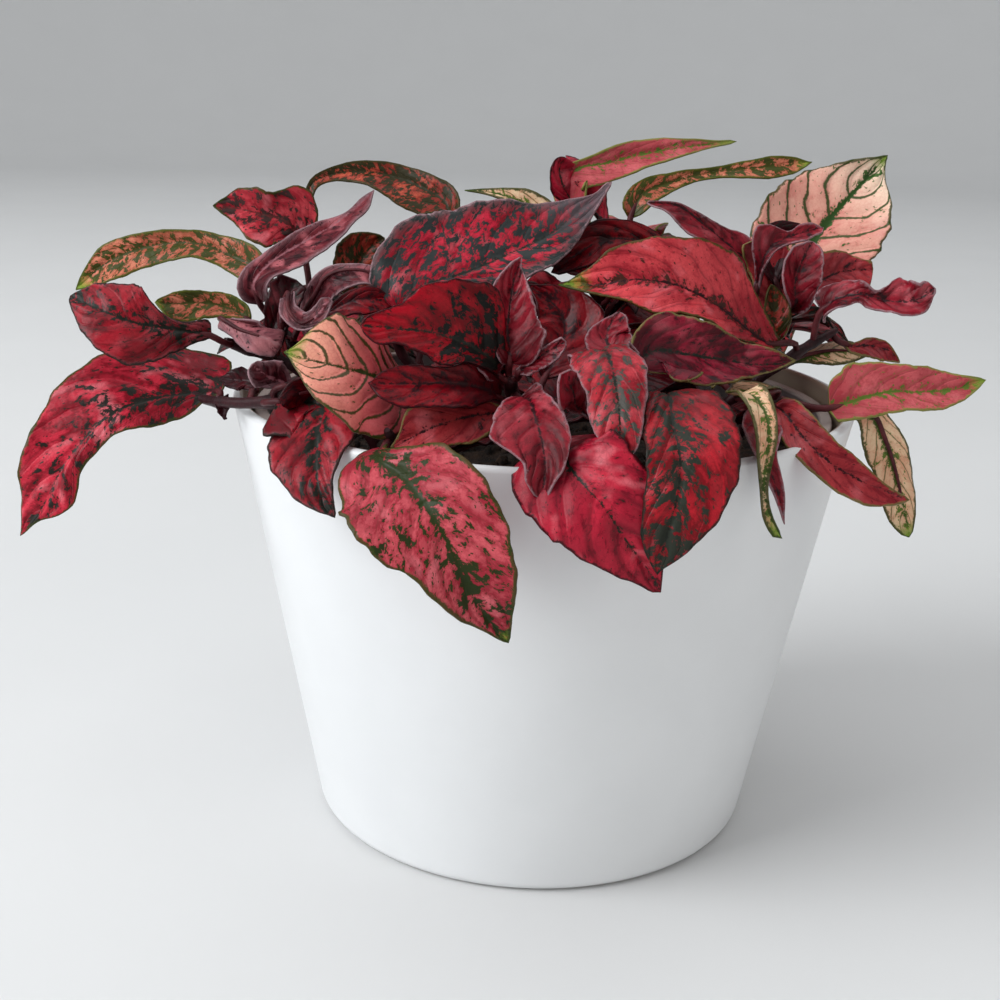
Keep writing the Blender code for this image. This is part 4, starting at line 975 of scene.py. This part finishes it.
def pot_material(name, colour, second, roughness, grain, zone):
    """Moulded pot: an even colour, faintly cloudy and pitted, with one zone of painted light in another
    colour.

    The zone is where constant + height * per_height + radius * per_radius is above 0, in millimetres.
    """
    p = Pattern(name)
    place = p.place()
    constant, per_height, per_radius, painted_light_colour = zone
    split = p.node("ShaderNodeSeparateXYZ")
    p.feed(split.inputs[0], place)
    across, back, up = split.outputs
    radius = p.math("SQRT", p.add(p.times(across, across), p.times(back, back)))
    within = p.add(p.add(p.times(up, per_height), p.times(radius, per_radius)), constant)
    cloud = p.noise(place, 26, 3, 0.5)
    pits = p.noise(place, 0.45, 3, 0.6)
    tone = p.mix(p.step(cloud, 0.3, 0.75), colour, second)
    # Painted light in the zone: shade inside the cover pot, a highlight along the nursery pot's rim.
    tone = p.mix(p.step(within, 0.1, 0.6), tone, painted_light_colour)
    p.bump(p.add(p.times(pits, grain), p.times(cloud, grain * 4)))
    return p.finish(tone, p.add(p.times(cloud, 0.10), roughness))


def stage_material(colour):
    """Plain matt floor with a barely visible mottle."""
    p = Pattern("stage_floor")
    cloud = p.noise(p.place(), 90, 4, 0.5)
    darker = tuple(0.96 * c for c in colour)
    return p.finish(p.mix(cloud, tuple(colour), darker), 0.85)


# ---------------------------------------------------------------- modelling


def deselect():
    """Leave edit mode and select nothing."""
    if bpy.context.object and bpy.context.object.mode != "OBJECT":
        bpy.ops.object.mode_set(mode="OBJECT")
    bpy.ops.object.select_all(action="DESELECT")


def pick(*objects):
    """Make the first object active, with all of them selected."""
    deselect()
    for obj in objects:
        obj.select_set(True)
    bpy.context.view_layer.objects.active = objects[0]


def apply_modifier(obj, name, kind, **settings):
    """Add a modifier, set it up and apply it."""
    pick(obj)
    modifier = obj.modifiers.new(name, kind)
    for key, value in settings.items():
        setattr(modifier, key, value)
    bpy.ops.object.modifier_apply(modifier=modifier.name)


def lathe(name, profile, sides, smooth_angle=40):
    """Extrude and resize a filled ring through (radius, height) rows into a closed turned body."""
    radius, height = profile[0]
    deselect()
    bpy.ops.mesh.primitive_circle_add(vertices=sides, radius=radius * MM, fill_type="NGON",
                                      location=(0, 0, height * MM))
    obj = bpy.context.object
    obj.name = name
    obj.data.name = name
    bpy.ops.object.transform_apply(location=True)
    bpy.ops.object.mode_set(mode="EDIT")
    bpy.ops.mesh.select_all(action="SELECT")
    for (r0, z0), (r1, z1) in zip(profile, profile[1:]):
        bpy.ops.mesh.extrude_region_move(TRANSFORM_OT_translate={"value": (0, 0, (z1 - z0) * MM)})
        bpy.ops.transform.resize(value=(r1 / r0, r1 / r0, 1), center_override=(0, 0, 0))
    bpy.ops.mesh.select_all(action="SELECT")
    bpy.ops.mesh.normals_make_consistent(inside=False)
    bpy.ops.object.mode_set(mode="OBJECT")
    bpy.ops.object.shade_smooth_by_angle(angle=math.radians(smooth_angle))
    return obj


def arc(centre_r, centre_z, radius, start, end, steps):
    """Points of a round stretch of a profile, angles in degrees."""
    points = []
    for i in range(steps + 1):
        angle = math.radians(start + (end - start) * i / steps)
        points.append((centre_r + radius * math.cos(angle), centre_z + radius * math.sin(angle)))
    return points


def tube(name, points, radii, sides):
    """A round tube through the points, made from a bevelled curve."""
    curve = bpy.data.curves.new(name, "CURVE")
    curve.dimensions = "3D"
    curve.bevel_depth = MM
    curve.bevel_resolution = sides // 4
    curve.use_fill_caps = True
    spline = curve.splines.new("POLY")
    spline.points.add(len(points) - 1)
    for knot, point, radius in zip(spline.points, points, radii):
        knot.co = (*(point * MM), 1.0)
        knot.radius = radius
    obj = bpy.data.objects.new(name, curve)
    bpy.context.collection.objects.link(obj)
    pick(obj)
    bpy.ops.object.convert(target="MESH")
    bpy.ops.object.shade_smooth()
    return bpy.context.object


def wear(obj, *materials):
    """Give an object its materials, in order."""
    obj.data.materials.clear()
    for material in materials:
        obj.data.materials.append(material)


def declare(obj, node):
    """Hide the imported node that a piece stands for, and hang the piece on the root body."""
    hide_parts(node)
    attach(obj, "root")


def taper(low_radius, high_radius, low, high):
    """A straight tapered wall's outer radius, as a function of height."""
    return lambda z: low_radius + (high_radius - low_radius) * (z - low) / (high - low)


def make_cover_pot(pots):
    """White tapered cover pot with a rounded rim and foot."""
    _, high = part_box("cover_pot")
    height = high[2] / MM
    top = high[0] / MM
    foot = pots.cover_foot_radius / MM
    wall = pots.cover_wall / MM
    round_foot = pots.cover_foot_round / MM
    floor = pots.cover_floor / MM
    outer = taper(foot, top, 0, height)
    levels = (12, 30, 50, 70, 88)
    profile = [(outer(0) - round_foot - 2, 0.6), (outer(0) - round_foot - 1.4, 0.0)]
    profile += arc(outer(round_foot) - round_foot, round_foot, round_foot, -90, -5, 8)
    profile += [(outer(z), z) for z in levels]
    profile += arc(top - wall / 2, height - wall / 2, wall / 2, 0, 180, 12)
    profile += [(outer(z) - wall, z) for z in reversed(levels)]
    profile += arc(outer(floor + round_foot) - wall - round_foot, floor + round_foot, round_foot, 0, -90, 6)
    pot = lathe("cover_pot_fine", profile, 192)
    # Painted shade: the cover pot's inner wall is darker and warmer, for the shade inside it and the red
    # light the leaves throw onto it.
    inside = (foot - wall / 2, (top - foot) / height, -1.0, tuple(pots.cover_inside_shade))
    wear(pot, pot_material("cover_pot_satin", tuple(pots.cover_colour), tuple(pots.cover_shade), 0.30,
                           0.004, inside))
    declare(pot, "cover_pot")


def make_nursery_pot(pots):
    """Thin nursery pot with a turned-out lip and drain holes."""
    low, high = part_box("nursery_pot")
    bottom = low[2] / MM
    top = high[2] / MM
    lip = high[0] / MM
    wall = pots.nursery_wall / MM
    rim = lip - pots.nursery_lip_width / MM
    base = pots.nursery_base_radius / MM
    under_lip = top - pots.nursery_lip_depth / MM
    outer = taper(base, rim, bottom, top)
    levels = (25, 50, 75)
    profile = [(base, bottom)]
    profile += [(outer(z), z) for z in levels]
    profile += [(outer(under_lip), under_lip), (lip - 0.5, under_lip), (lip - 0.1, under_lip + 0.25)]
    profile += [(lip, under_lip + 0.6), (lip, top - 0.6), (lip - 0.15, top - 0.2), (lip - 0.5, top)]
    profile += [(rim - wall + 0.4, top), (rim - wall, top - 0.4)]
    profile += [(outer(z) - wall, z) for z in (*reversed(levels), bottom + wall)]
    pot = lathe("nursery_pot_fine", profile, 128)
    for i in range(pots.drain_count + 1):
        turn = 2 * math.pi * (i + 0.5) / pots.drain_count
        circle = pots.drain_circle if i < pots.drain_count else 0.0
        deselect()
        spot = (circle * math.cos(turn), circle * math.sin(turn), bottom * MM)
        bpy.ops.mesh.primitive_cylinder_add(vertices=32, radius=pots.drain_radius, depth=0.006,
                                            location=spot)
        drill = bpy.context.object
        apply_modifier(pot, "drain", "BOOLEAN", operation="DIFFERENCE", object=drill)
        bpy.data.objects.remove(drill)
    pick(pot)
    bpy.ops.object.shade_smooth_by_angle(angle=math.radians(40))
    # Painted highlight: the top 0.8 mm of the nursery pot is lighter, for the light caught along its rim.
    edge = (0.8 - top, 1.0, 0.0, tuple(pots.nursery_edge_highlight))
    # Painted shade: the nursery pot's dark colours stand in for the shade inside the pot.
    wear(pot, pot_material("nursery_pot_matt", tuple(pots.nursery_shaded_colour), tuple(pots.nursery_shade), 0.5,
                           0.012, edge))
    declare(pot, "nursery_pot")


CRUMB_SEED = 11  # the crumbs are placed and shaped alike on every run
SOIL_RINGS = 22


def make_soil(soil):
    """Root ball with an uneven crumbly top."""
    low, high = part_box("soil")
    edge = high[0] / MM
    bottom = low[2] / MM
    level = soil.edge_level / MM
    profile = [(edge * 0.70, bottom), (edge, level)]
    for i in range(1, SOIL_RINGS + 1):
        crown = soil.crown / MM * math.sin(math.pi / 2 * i / SOIL_RINGS)
        profile.append((edge * (1 - i / (SOIL_RINGS + 0.5)), level + crown))
    top = lathe("soil_fine", profile, 128, 80)
    for vertex in top.data.vertices:
        if vertex.co.z / MM > level - 0.1:
            reach = Vector((vertex.co.x, vertex.co.y)).length / MM
            fade = min(1.0, (edge - reach) / 4)
            bumpy = noise.fractal(vertex.co / (5 * MM), 0.8, 2.1, 5)
            vertex.co.z += (soil.unevenness * bumpy - 0.3 * MM) * fade
    dice = random.Random(CRUMB_SEED)
    crumbs = []
    for _ in range(soil.crumbs):
        reach = (edge - 3) * math.sqrt(dice.random())
        turn = dice.uniform(0, 2 * math.pi)
        size = dice.uniform(0.5, 1.0) ** 2 * soil.crumb_size
        crumbs.append((reach * math.cos(turn) * MM, reach * math.sin(turn) * MM, size, dice.random()))
    deselect()
    pieces = []
    for x, y, size, turn in crumbs:
        hit, spot, _, _ = top.ray_cast(Vector((x, y, 0.12)), Vector((0, 0, -1)))
        if not hit:
            raise RuntimeError("a crumb misses the soil")
        bpy.ops.mesh.primitive_ico_sphere_add(subdivisions=1, radius=size, location=spot,
                                              rotation=(6 * turn, 9 * turn, 4 * turn))
        crumb = bpy.context.object
        crumb.scale = (1.0, 0.55 + 0.4 * turn, 0.5 + 0.3 * turn)
        pieces.append(crumb)
    pick(pieces[0], *pieces[1:])
    bpy.ops.object.join()
    bpy.ops.object.transform_apply()
    loose = bpy.context.object
    noise.seed_set(CRUMB_SEED)
    for vertex in loose.data.vertices:
        vertex.co += noise.noise_vector(vertex.co / (1.3 * MM)) * 0.35 * MM
    bpy.ops.object.shade_smooth()
    pick(top, loose)
    bpy.ops.object.join()
    wear(top, soil_material(tuple(soil.colour)))
    declare(top, "soil")


def make_stems(stems):
    """Tapered stems, swollen where a leaf leaves them."""
    skin = stem_material("stem_skin", tuple(stems.colour), tuple(stems.tip_colour))
    for name, stem in STEMS.items():
        joints = [leaf.along for leaf in ALL_LEAVES if leaf.stem == name]
        points = stem_points(stem, STEM_POINTS)
        radii = []
        for i in range(STEM_POINTS):
            along = i / (STEM_POINTS - 1)
            swell = max([math.exp(-((along - joint) / JOINT_REACH) ** 2) for joint in joints] + [0.0])
            end = min(1.0, math.sqrt(max(0.02, (1.02 - along) * 18)))  # rounds off the tip
            radius = stem.foot_radius + (stem.tip_radius - stem.foot_radius) * along
            radii.append(radius * (1 + stems.swelling * swell) * end)
        obj = tube(f"stem_{name}_fine", points, radii, 12)
        wear(obj, skin)
        declare(obj, "stem_" + name)


def make_blade(leaf, midrib, sizes):
    """The blade: a fine grid laid along the midrib, then made solid.

    The materials read three maps: blade_map has the distances from the midrib and from the margin and the
    share along the blade, vein_map the vein count and the gap between veins, spot_map a place stretched
    along the side veins.
    """
    columns, rows = sizes.columns, sizes.rows
    if leaf.width <= WIDE_LEAF:
        columns, rows = columns * 2 // 3, rows * 2 // 3
    deselect()
    bpy.ops.mesh.primitive_grid_add(x_subdivisions=columns, y_subdivisions=rows, size=1)
    obj = bpy.context.object
    relief = BladeRelief(leaf, sizes)
    blade_length = midrib.length * (1 - midrib.share)
    gap = blade_length / (relief.pairs + 0.5)
    seed = random.Random(leaf.name + " spots").uniform(-500, 500)
    blade_map = []
    vein_map = []
    spot_map = []
    for vertex in obj.data.vertices:
        v = -2 * vertex.co.x
        s = vertex.co.y + 0.5
        side = 0 if v < 0 else 1
        reach = abs(v)
        point, tangent, normal = midrib.at(midrib.share + (1 - midrib.share) * s)
        half_width = blade_outline(leaf, s, side) * relief.margin(side, s)
        half_width = max(half_width, STALK_RADIUS * (1 - s))
        x, z = blade_section(leaf, half_width, side, reach, s)
        z += relief.rise(s, reach, half_width, side)
        sign = 1 if v > 0 else -1
        vertex.co = (point - tangent.cross(normal) * (sign * x) + normal * z) * MM
        rib = v * half_width
        forward = s * blade_length
        blade_map += [rib, (1 - reach) * half_width, s]
        vein_map += [relief.vein(s, reach), gap, 0.0]
        spot_map += [seed + (forward + abs(rib)) / SLANT / sizes.spot_stretch,
                     (forward - abs(rib)) / SLANT, 0.5 * rib]
    for name, values in (("blade_map", blade_map), ("vein_map", vein_map), ("spot_map", spot_map)):
        layer = obj.data.attributes.new(name, "FLOAT_VECTOR", "POINT")
        layer.data.foreach_set("vector", values)
    bpy.ops.object.mode_set(mode="EDIT")
    bpy.ops.mesh.select_all(action="SELECT")
    bpy.ops.mesh.remove_doubles(threshold=0.000001)
    bpy.ops.object.mode_set(mode="OBJECT")
    apply_modifier(obj, "thickness", "SOLIDIFY", thickness=sizes.thickness, offset=-1, material_offset=1)
    bpy.ops.object.shade_smooth()
    return obj


def make_leaf(leaf, sizes, materials):
    """One leaf: its blade with the stalk and the raised rib under it."""
    midrib = Midrib(leaf)
    blade = make_blade(leaf, midrib, sizes)
    path = [midrib.root]
    radii = [STALK_RADIUS]
    end = int((midrib.share + (1 - midrib.share) * RIB_END) * LEAF_SAMPLES)
    for i in range(0, end + 1, RIB_STEP):
        s = max(0.0, midrib.blade_share(i / LEAF_SAMPLES))
        radius = STALK_RADIUS * (1.15 - 0.95 * s)
        drop = min(1.0, s / 0.10) * (radius + (sizes.thickness * 0.4 + sizes.rib_groove) / MM)
        path.append(midrib.points[i] - midrib.normals[i] * drop)
        radii.append(radius)
    stalk = tube("stalk", path, radii, 8)
    upper, under, skin = materials
    wear(stalk, skin)
    wear(blade, upper, under)
    pick(blade, stalk)
    bpy.ops.object.join()
    blade.name = leaf.name + "_fine"
    blade.data.name = blade.name
    return blade


def leaf_skins(name):
    """Upper, under and stalk materials of a look, built the first time they are asked for."""
    kept = bpy.data.materials
    if name + "_upper" not in kept:
        leaf_material(name, LOOKS[name], False)
        leaf_material(name, LOOKS[name], True)
    if "stalk_skin" not in kept:
        stem_material("stalk_skin", srgb(60, 18, 24), srgb(92, 36, 40))
    return kept[name + "_upper"], kept[name + "_under"], kept["stalk_skin"]


def make_leaves(leaves, sizes):
    """Every leaf of a list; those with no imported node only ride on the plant."""
    for leaf in leaves:
        blade = make_leaf(leaf, sizes, leaf_skins(leaf.look))
        if leaf.name in SLOT_OF:
            declare(blade, leaf.name)
        else:
            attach(blade, "root")


def make_camera(stage):
    """A camera a little above the plant, looking down at it from the front."""
    pitch = stage.pitch
    yaw = stage.yaw
    forward = Vector((math.sin(yaw) * math.cos(pitch), math.cos(yaw) * math.cos(pitch), -math.sin(pitch)))
    level = Vector((math.cos(yaw), -math.sin(yaw), 0))
    upright = level.cross(forward)
    right = level * math.cos(stage.roll) + upright * math.sin(stage.roll)
    up = upright * math.cos(stage.roll) - level * math.sin(stage.roll)
    turn = Matrix((right, up, -forward)).transposed().to_4x4()
    data = bpy.data.cameras.new("camera")
    data.lens = stage.lens
    data.sensor_width = 36
    data.clip_start = 0.01
    camera = bpy.data.objects.new("camera", data)
    camera.matrix_world = Matrix.Translation((0, -stage.distance, stage.height)) @ turn
    bpy.context.collection.objects.link(camera)
    bpy.context.scene.camera = camera


def make_light(name, place, size, power, colour):
    """A square soft box aimed at the plant."""
    data = bpy.data.lights.new(name, "AREA")
    data.size = size
    data.energy = power
    data.color = colour
    light = bpy.data.objects.new(name, data)
    light.location = place
    light.rotation_euler = (Vector((0, 0, 0.1)) - Vector(place)).to_track_quat("-Z", "Y").to_euler()
    bpy.context.collection.objects.link(light)


def make_stage(stage):
    """Pale floor that curves up all round, soft boxes, a dim sky and the camera."""
    metres = 1 / MM
    profile = [(3.3 * metres, -0.02 * metres), (3.3 * metres, 2.6 * metres), (3.2 * metres, 2.6 * metres)]
    profile += arc(2.2 * metres, 1.0 * metres, 1.0 * metres, 0, -90, 16)
    floor = lathe("stage_floor", profile, 96, 60)
    wear(floor, stage_material(stage.floor_colour))
    world = bpy.data.worlds.new("studio")
    world.use_nodes = True
    background = world.node_tree.nodes["Background"]
    background.inputs["Color"].default_value = (*stage.sky_colour, 1)
    background.inputs["Strength"].default_value = stage.sky_strength
    bpy.context.scene.world = world
    bpy.context.scene.view_settings.view_transform = "Standard"
    make_light("key", (-1.3, -0.6, 1.0), 1.1, stage.key_power, stage.key_colour)
    make_light("top", (0, 0.3, 2.5), 2.6, stage.top_power, stage.key_colour)
    make_light("fill", (1.2, -1.2, 0.7), 1.2, stage.fill_power, stage.fill_colour)
    make_camera(stage)


# ---------------------------------------------------------------- settings


def number(name, description, default, **kind):
    return bpy.props.FloatProperty(name=name, description=description, default=default, **kind)


def length(name, description, default):
    return number(name, description, default, min=0.0, subtype="DISTANCE", unit="LENGTH", precision=5)


def share(name, description, default):
    return number(name, description, default, min=0.0, precision=4)


def power(name, description, default):
    return number(name, description, default, min=0.0, subtype="POWER", unit="POWER")


def angle(name, description, degrees):
    return number(name, description, math.radians(degrees), subtype="ANGLE", unit="ROTATION")


def count(name, description, default, least):
    return bpy.props.IntProperty(name=name, description=description, default=default, min=least)


def paint(name, description, default):
    return bpy.props.FloatVectorProperty(name=name, description=description, default=default, size=3,
                                         subtype="COLOR", min=0.0, max=1.0)


class PlantPotSettings(bpy.types.PropertyGroup):
    """Sizes and colours of the cover pot and the nursery pot."""

    cover_foot_radius: length("Cover foot radius", "Radius of the cover pot where its sides meet the floor",
                              0.0514)
    cover_wall: length("Cover wall", "Thickness of the cover pot's wall", 0.0024)
    cover_floor: length("Cover floor", "Thickness of the cover pot's floor", 0.003)
    cover_foot_round: length("Cover foot round", "Radius of the round at the cover pot's foot", 0.003)
    cover_colour: paint("Cover colour", "Main colour of the cover pot", (0.80, 0.81, 0.82))
    cover_shade: paint("Cover shade", "Second tone of the cover pot", (0.77, 0.78, 0.79))
    # Painted shade on the cover pot's inner wall, warmed by light reflected from the leaves.
    cover_inside_shade: paint("Cover inside", "Colour of the cover pot's inner wall", (0.46, 0.35, 0.26))
    nursery_base_radius: length("Nursery base radius", "Outer radius of the nursery pot's base", 0.0445)
    nursery_wall: length("Nursery wall", "Thickness of the nursery pot's wall", 0.001)
    nursery_lip_width: length("Nursery lip width", "How far the nursery pot's lip stands out", 0.0018)
    nursery_lip_depth: length("Nursery lip depth", "Height of the nursery pot's lip", 0.0024)
    # Painted shade: dark colours that stand in for the shade inside the nursery pot.
    nursery_shaded_colour: paint("Nursery colour", "Main colour of the nursery pot", (0.15, 0.12, 0.12))
    nursery_shade: paint("Nursery shade", "Second tone of the nursery pot", (0.12, 0.09, 0.09))
    # Painted highlight along the nursery pot's top edge.
    nursery_edge_highlight: paint("Nursery edge", "Colour of the nursery pot's worn top edge", (0.48, 0.39, 0.36))
    drain_count: count("Drain holes", "Drain holes in the ring", 8, 3)
    drain_radius: length("Drain radius", "Radius of a drain hole", 0.004)
    drain_circle: length("Drain circle", "Radius of the ring of drain holes", 0.029)


class PlantSoilSettings(bpy.types.PropertyGroup):
    """Shape and colour of the soil."""

    edge_level: length("Edge level", "Height of the soil along the pot's wall", 0.0874)
    crown: length("Crown", "How much the soil stands higher in the middle", 0.0010)
    unevenness: length("Unevenness", "Height of the soil's bumps", 0.0008)
    crumbs: count("Crumbs", "Loose crumbs on top", 420, 1)
    crumb_size: length("Crumb size", "Radius of the largest crumb", 0.0024)
    colour: paint("Colour", "Main colour of the soil", srgb(28, 20, 16))


class PlantStemSettings(bpy.types.PropertyGroup):
    """Shape and colour of the stems."""

    swelling: share("Swelling", "How much thicker a stem is where a leaf leaves it", 0.28)
    colour: paint("Colour", "Main colour of the stems", srgb(34, 13, 17))
    tip_colour: paint("Tip colour", "Second tone of the stems", srgb(56, 22, 27))


class PlantLeafSettings(bpy.types.PropertyGroup):
    """Relief and fineness of the leaves' blades."""

    thickness: length("Thickness", "Thickness of a blade", 0.0004)
    rib_groove: length("Rib groove", "Depth of the groove along the midrib", 0.0004)
    quilting: share("Quilting", "Height of the pillows between side veins, as a share of the width", 0.032)
    flutter: share("Flutter", "Height of the margin's waves, as a share of the leaf's width", 0.05)
    margin_teeth: share("Margin teeth", "Depth of the shallow teeth, as a share of the half width", 0.02)
    vein_pairs: count("Vein pairs", "Pairs of side veins", 6, 2)
    spot_stretch: share("Spot stretch", "How much longer than wide the blotches are", 1.7)
    columns: count("Columns", "Faces across a wide blade", 24, 6)
    rows: count("Rows", "Faces along a wide blade", 60, 12)


class PlantStageSettings(bpy.types.PropertyGroup):
    """Floor, lights and camera."""

    floor_colour: paint("Floor colour", "Colour of the floor", (0.72, 0.72, 0.72))
    sky_colour: paint("Sky colour", "Colour of the even light from all round", (0.95, 0.975, 1.0))
    sky_strength: share("Sky strength", "Strength of the even light from all round", 0.30)
    key_power: power("Key power", "Power of the soft box on the left", 27.5)
    key_colour: paint("Key colour", "Colour of the soft box on the left", (0.96, 0.985, 1.0))
    top_power: power("Top power", "Power of the soft box overhead", 27.0)
    fill_power: power("Fill power", "Power of the soft box on the right", 4.0)
    fill_colour: paint("Fill colour", "Colour of the soft box on the right", (1.0, 0.95, 0.88))
    lens: share("Lens", "Focal length of the camera, in millimetres", 49.75)
    distance: length("Distance", "How far the camera stands in front of the pot's axis", 0.3118)
    height: length("Height", "Height of the camera above the floor", 0.1683)
    pitch: angle("Pitch", "How far the camera looks down", 17.07)
    yaw: angle("Yaw", "How far the camera looks to its right", -1.67)
    roll: angle("Roll", "How far the camera leans", 1.50)


# ---------------------------------------------------------------- operators


class POLKA_OT_cover_pot(bpy.types.Operator):
    """Build the white cover pot"""

    bl_idname = "polka.cover_pot"
    bl_label = "Cover Pot"
    bl_options = {"REGISTER", "UNDO"}

    def execute(self, context):
        make_cover_pot(context.scene.polka_pots)
        return {"FINISHED"}


class POLKA_OT_nursery_pot(bpy.types.Operator):
    """Build the nursery pot inside the cover pot"""

    bl_idname = "polka.nursery_pot"
    bl_label = "Nursery Pot"
    bl_options = {"REGISTER", "UNDO"}

    def execute(self, context):
        make_nursery_pot(context.scene.polka_pots)
        return {"FINISHED"}


class POLKA_OT_soil(bpy.types.Operator):
    """Build the soil with its crumbs"""

    bl_idname = "polka.soil"
    bl_label = "Soil"
    bl_options = {"REGISTER", "UNDO"}

    def execute(self, context):
        make_soil(context.scene.polka_soil)
        return {"FINISHED"}


class POLKA_OT_stems(bpy.types.Operator):
    """Build all the stems"""

    bl_idname = "polka.stems"
    bl_label = "Stems"
    bl_options = {"REGISTER", "UNDO"}

    def execute(self, context):
        make_stems(context.scene.polka_stems)
        return {"FINISHED"}


class POLKA_OT_leaves(bpy.types.Operator):
    """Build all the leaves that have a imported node"""

    bl_idname = "polka.leaves"
    bl_label = "Leaves"
    bl_options = {"REGISTER", "UNDO"}

    def execute(self, context):
        make_leaves(ALL_LEAVES, context.scene.polka_leaves)
        return {"FINISHED"}


class POLKA_OT_shoots(bpy.types.Operator):
    """Build the small young leaves at the stems' ends"""

    bl_idname = "polka.shoots"
    bl_label = "Young Shoots"
    bl_options = {"REGISTER", "UNDO"}

    def execute(self, context):
        make_leaves(SHOOTS, context.scene.polka_leaves)
        return {"FINISHED"}


class POLKA_OT_inner_leaves(bpy.types.Operator):
    """Build the leaves inside the plant that fill it out"""

    bl_idname = "polka.inner_leaves"
    bl_label = "Inner Leaves"
    bl_options = {"REGISTER", "UNDO"}

    def execute(self, context):
        make_leaves([inner_leaf(*row) for row in INNER_LEAVES], context.scene.polka_leaves)
        return {"FINISHED"}


class POLKA_OT_stage(bpy.types.Operator):
    """Build the floor, the lights and the camera"""

    bl_idname = "polka.stage"
    bl_label = "Stage"
    bl_options = {"REGISTER", "UNDO"}

    def execute(self, context):
        make_stage(context.scene.polka_stage)
        return {"FINISHED"}


OPERATORS = (POLKA_OT_cover_pot, POLKA_OT_nursery_pot, POLKA_OT_soil, POLKA_OT_stems, POLKA_OT_leaves,
             POLKA_OT_shoots, POLKA_OT_inner_leaves, POLKA_OT_stage)
SETTINGS = {
    "polka_pots": PlantPotSettings,
    "polka_soil": PlantSoilSettings,
    "polka_stems": PlantStemSettings,
    "polka_leaves": PlantLeafSettings,
    "polka_stage": PlantStageSettings,
}


class POLKA_PT_plant(bpy.types.Panel):
    """Steps that build the plant, in order"""

    bl_label = "Polka Dot Plant"
    bl_idname = "POLKA_PT_plant"
    bl_space_type = "VIEW_3D"
    bl_region_type = "UI"
    bl_category = "Polka Dot Plant"

    def draw(self, context):
        for operator in OPERATORS:
            self.layout.operator(operator.bl_idname)


CLASSES = (*SETTINGS.values(), *OPERATORS, POLKA_PT_plant)


def register():
    for kind in CLASSES:
        bpy.utils.register_class(kind)
    for name, settings in SETTINGS.items():
        setattr(bpy.types.Scene, name, bpy.props.PointerProperty(type=settings))


def unregister():
    for name in SETTINGS:
        delattr(bpy.types.Scene, name)
    for kind in reversed(CLASSES):
        bpy.utils.unregister_class(kind)


def main():
    register()
    bpy.ops.polka.cover_pot()
    bpy.ops.polka.nursery_pot()
    bpy.ops.polka.soil()
    bpy.ops.polka.stems()
    bpy.ops.polka.leaves()
    bpy.ops.polka.shoots()
    bpy.ops.polka.inner_leaves()
    bpy.ops.polka.stage()
    deselect()


if __name__ == "__main__":
    main()
